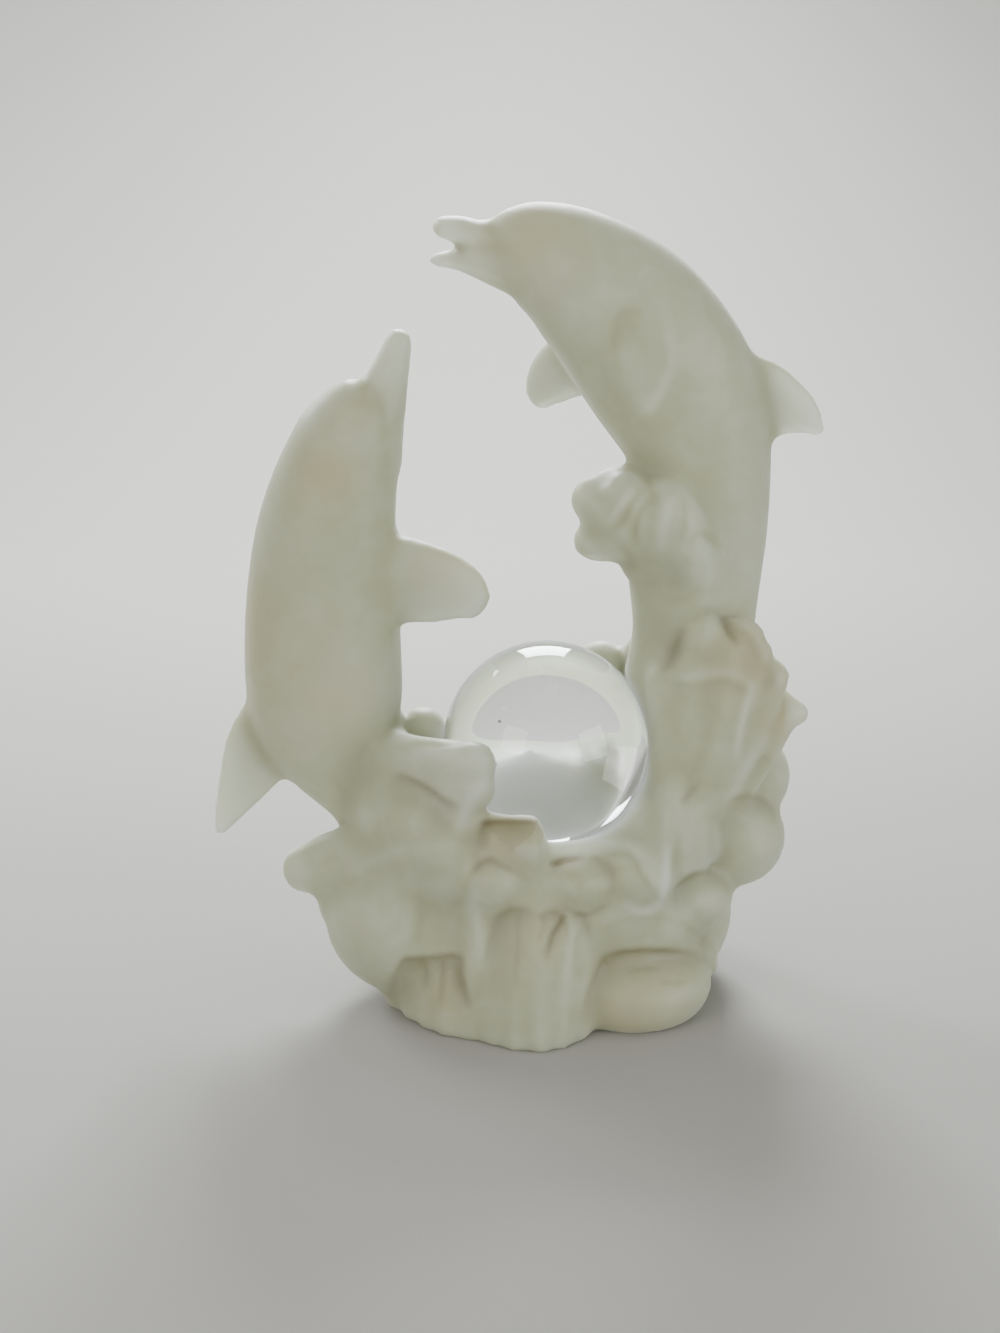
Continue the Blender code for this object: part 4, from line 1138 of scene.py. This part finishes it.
tree = satin_tree
place = add_node(tree, "ShaderNodeTexCoord").outputs["Object"]
read = {name: add_node(tree, "ShaderNodeAttribute", attribute_name=name).outputs["Fac"]
        for name in ("thin", "hollow", "painted_shade_and_light", "warm", "ground")}
cloud = add_node(tree, "ShaderNodeTexNoise", {"Vector": place, "Scale": 1 / CLOUD_SIZE, "Detail": 3.0})
veil = add_node(tree, "ShaderNodeTexNoise", {
    "Vector": place, "Scale": 1 / VEIL_SIZE, "Detail": 4.0, "Distortion": 0.6})
# painted shade where this is above zero; below zero it is painted highlight on swells and ridges and painted
# glow from the patches
depth = add_node(tree, "ShaderNodeMath", {0: read["hollow"], 1: HOLLOW_SHARE, 2: read["painted_shade_and_light"]},
                 operation="MULTIPLY_ADD")

# what is read, the stretch of it that counts, and the stretch that it is turned into
share = {name: add_node(tree, "ShaderNodeMapRange", {"Value": source, **dict(enumerate(limits, 1))})
         for name, source, *limits in (
             ("drift", cloud, 0.35, 0.65, 0.4, 1.0), ("veiled", veil, 0.35, 0.7, 0.0, 0.18),
             ("edge glow", read["thin"], 0.05, 0.6, 0.0, 0.7), ("darker", depth, 0.0, 1.0, 0.0, 0.85),
             ("lighter", depth, 0.0, -1.0, 0.0, 0.9), ("satin", cloud, 0.3, 0.7, 0.48, 0.58))}
warmth = add_node(tree, "ShaderNodeMath", {0: read["warm"], 1: share["drift"]}, operation="MULTIPLY")

# the milky body with random pale veils and a warm tint; then painted glow on thin edges, painted shade in
# hollows and creases, painted highlight on swells and ridges and painted glow patches, and the seat's ground
# white with painted caustic light, each laid over what is there by its share
colour = linear(MILKY)
for strength, tint in ((share["veiled"], PALE), (warmth, WARM), (share["edge glow"], PALE),
                       (share["darker"], SHADE_OLIVE), (share["lighter"], PALE), (read["ground"], GROUND_AND_CAUSTIC_WHITE)):
    colour = add_node(tree, "ShaderNodeMix", {0: strength, 6: colour, 7: linear(tint)},
                      data_type="RGBA").outputs[2]

pits = add_node(tree, "ShaderNodeTexNoise", {"Vector": place, "Scale": 1 / PIT_SIZE, "Detail": 3.0})
etched = add_node(tree, "ShaderNodeBump", {"Height": pits, "Strength": 0.25, "Distance": PIT_DEPTH})
rubs = add_node(tree, "ShaderNodeTexNoise", {"Vector": place, "Scale": 1 / RUB_SIZE, "Detail": 1.0})
rubbed = add_node(tree, "ShaderNodeBump", {
    "Height": rubs, "Distance": RUB_DEPTH, "Normal": etched.outputs["Normal"]})
tree.links.new(colour, satin_shader.inputs["Base Color"])
tree.links.new(share["satin"].outputs[0], satin_shader.inputs["Roughness"])
tree.links.new(rubbed.outputs["Normal"], satin_shader.inputs["Normal"])
set_sockets(satin_shader, {
    "IOR": GLASS_IOR, "Transmission Weight": 0.30, "Sheen Weight": 0.25, "Sheen Roughness": 0.35,
    "Subsurface Weight": 0.7, "Subsurface Radius": (1.0, 0.97, 0.85), "Subsurface Scale": SCATTER_REACH})
print("frosted finish:", len(tree.nodes), "nodes")

# %% [markdown]
# ## The clear ball
# The ball is polished, so it works as a strong lens and turns the room behind it upside down. A perfect
# sphere looks drawn, while a real ball was pressed, ground and polished and keeps a very slight wave in its
# surface. It also holds one small seed, a bubble that never left the melt: a tiny hollow whose faces look
# inwards.

# %% Ball
BALL_WAVE = 0.012 * MILLIMETRE
BALL_WAVES = (5, 5, 4)
BALL_WAVE_START = 1.3
BALL_MERIDIANS = 128
BALL_RINGS = 64
SEED_RADIUS = 0.25 * MILLIMETRE
SEED_PLACE = Vector((-0.42, -0.55, 0.42))

ball_shape = bmesh.new()
bmesh.ops.create_uvsphere(ball_shape, u_segments=BALL_MERIDIANS, v_segments=BALL_RINGS, radius=1.0)
for point in ball_shape.verts:
    way = point.co.normalized()
    x, y, z = (count * side for count, side in zip(BALL_WAVES, way))
    wave = math.sin(x + BALL_WAVE_START) * math.sin(y) * math.cos(z)
    point.co = BALL_CENTRE + way * (BALL_RADIUS - BALL_WAVE * (1 + wave))
seed_points = bmesh.ops.create_uvsphere(ball_shape, u_segments=16, v_segments=10, radius=SEED_RADIUS,
                                        matrix=Matrix.Translation(BALL_CENTRE + SEED_PLACE * BALL_RADIUS))
seed_faces = {face for point in seed_points["verts"] for face in point.link_faces}
bmesh.ops.reverse_faces(ball_shape, faces=list(seed_faces))
ball_mesh = bpy.data.meshes.new("clear_ball")
ball_shape.to_mesh(ball_mesh)
ball_shape.free()
ball_mesh.shade_smooth()
ball = add_object("clear_ball", ball_mesh)
print("ball:", len(ball_mesh.polygons), "faces")

# %% [markdown]
# ## Polished clear glass
# Clear glass has almost no colour of its own. It is see-through by plain values on the shader: full
# transmission, no roughness, and the bend of soda-lime glass. Handling leaves it faintly smeared, so a very
# low bump wavers over the surface, at about the width of a fingertip.

# %% Clear finish
CRYSTAL = "#f7faf9"
SMEAR_SIZE = 9 * MILLIMETRE
SMEAR_DEPTH = 0.1 * MILLIMETRE

clear_glass, tree, shader = new_material("polished_clear_glass")
place = add_node(tree, "ShaderNodeTexCoord").outputs["Object"]
smear = add_node(tree, "ShaderNodeTexNoise", {"Vector": place, "Scale": 1 / SMEAR_SIZE, "Detail": 1.0})
waver = add_node(tree, "ShaderNodeBump", {"Height": smear, "Strength": 0.04, "Distance": SMEAR_DEPTH})
tree.links.new(waver.outputs["Normal"], shader.inputs["Normal"])
set_sockets(shader, {
    "Base Color": linear(CRYSTAL), "Roughness": 0.0, "IOR": GLASS_IOR, "Transmission Weight": 1.0})
ball_mesh.materials.append(clear_glass)
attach(ball, "root")
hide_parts("glass_ball")
print("clear finish:", len(tree.nodes), "nodes")
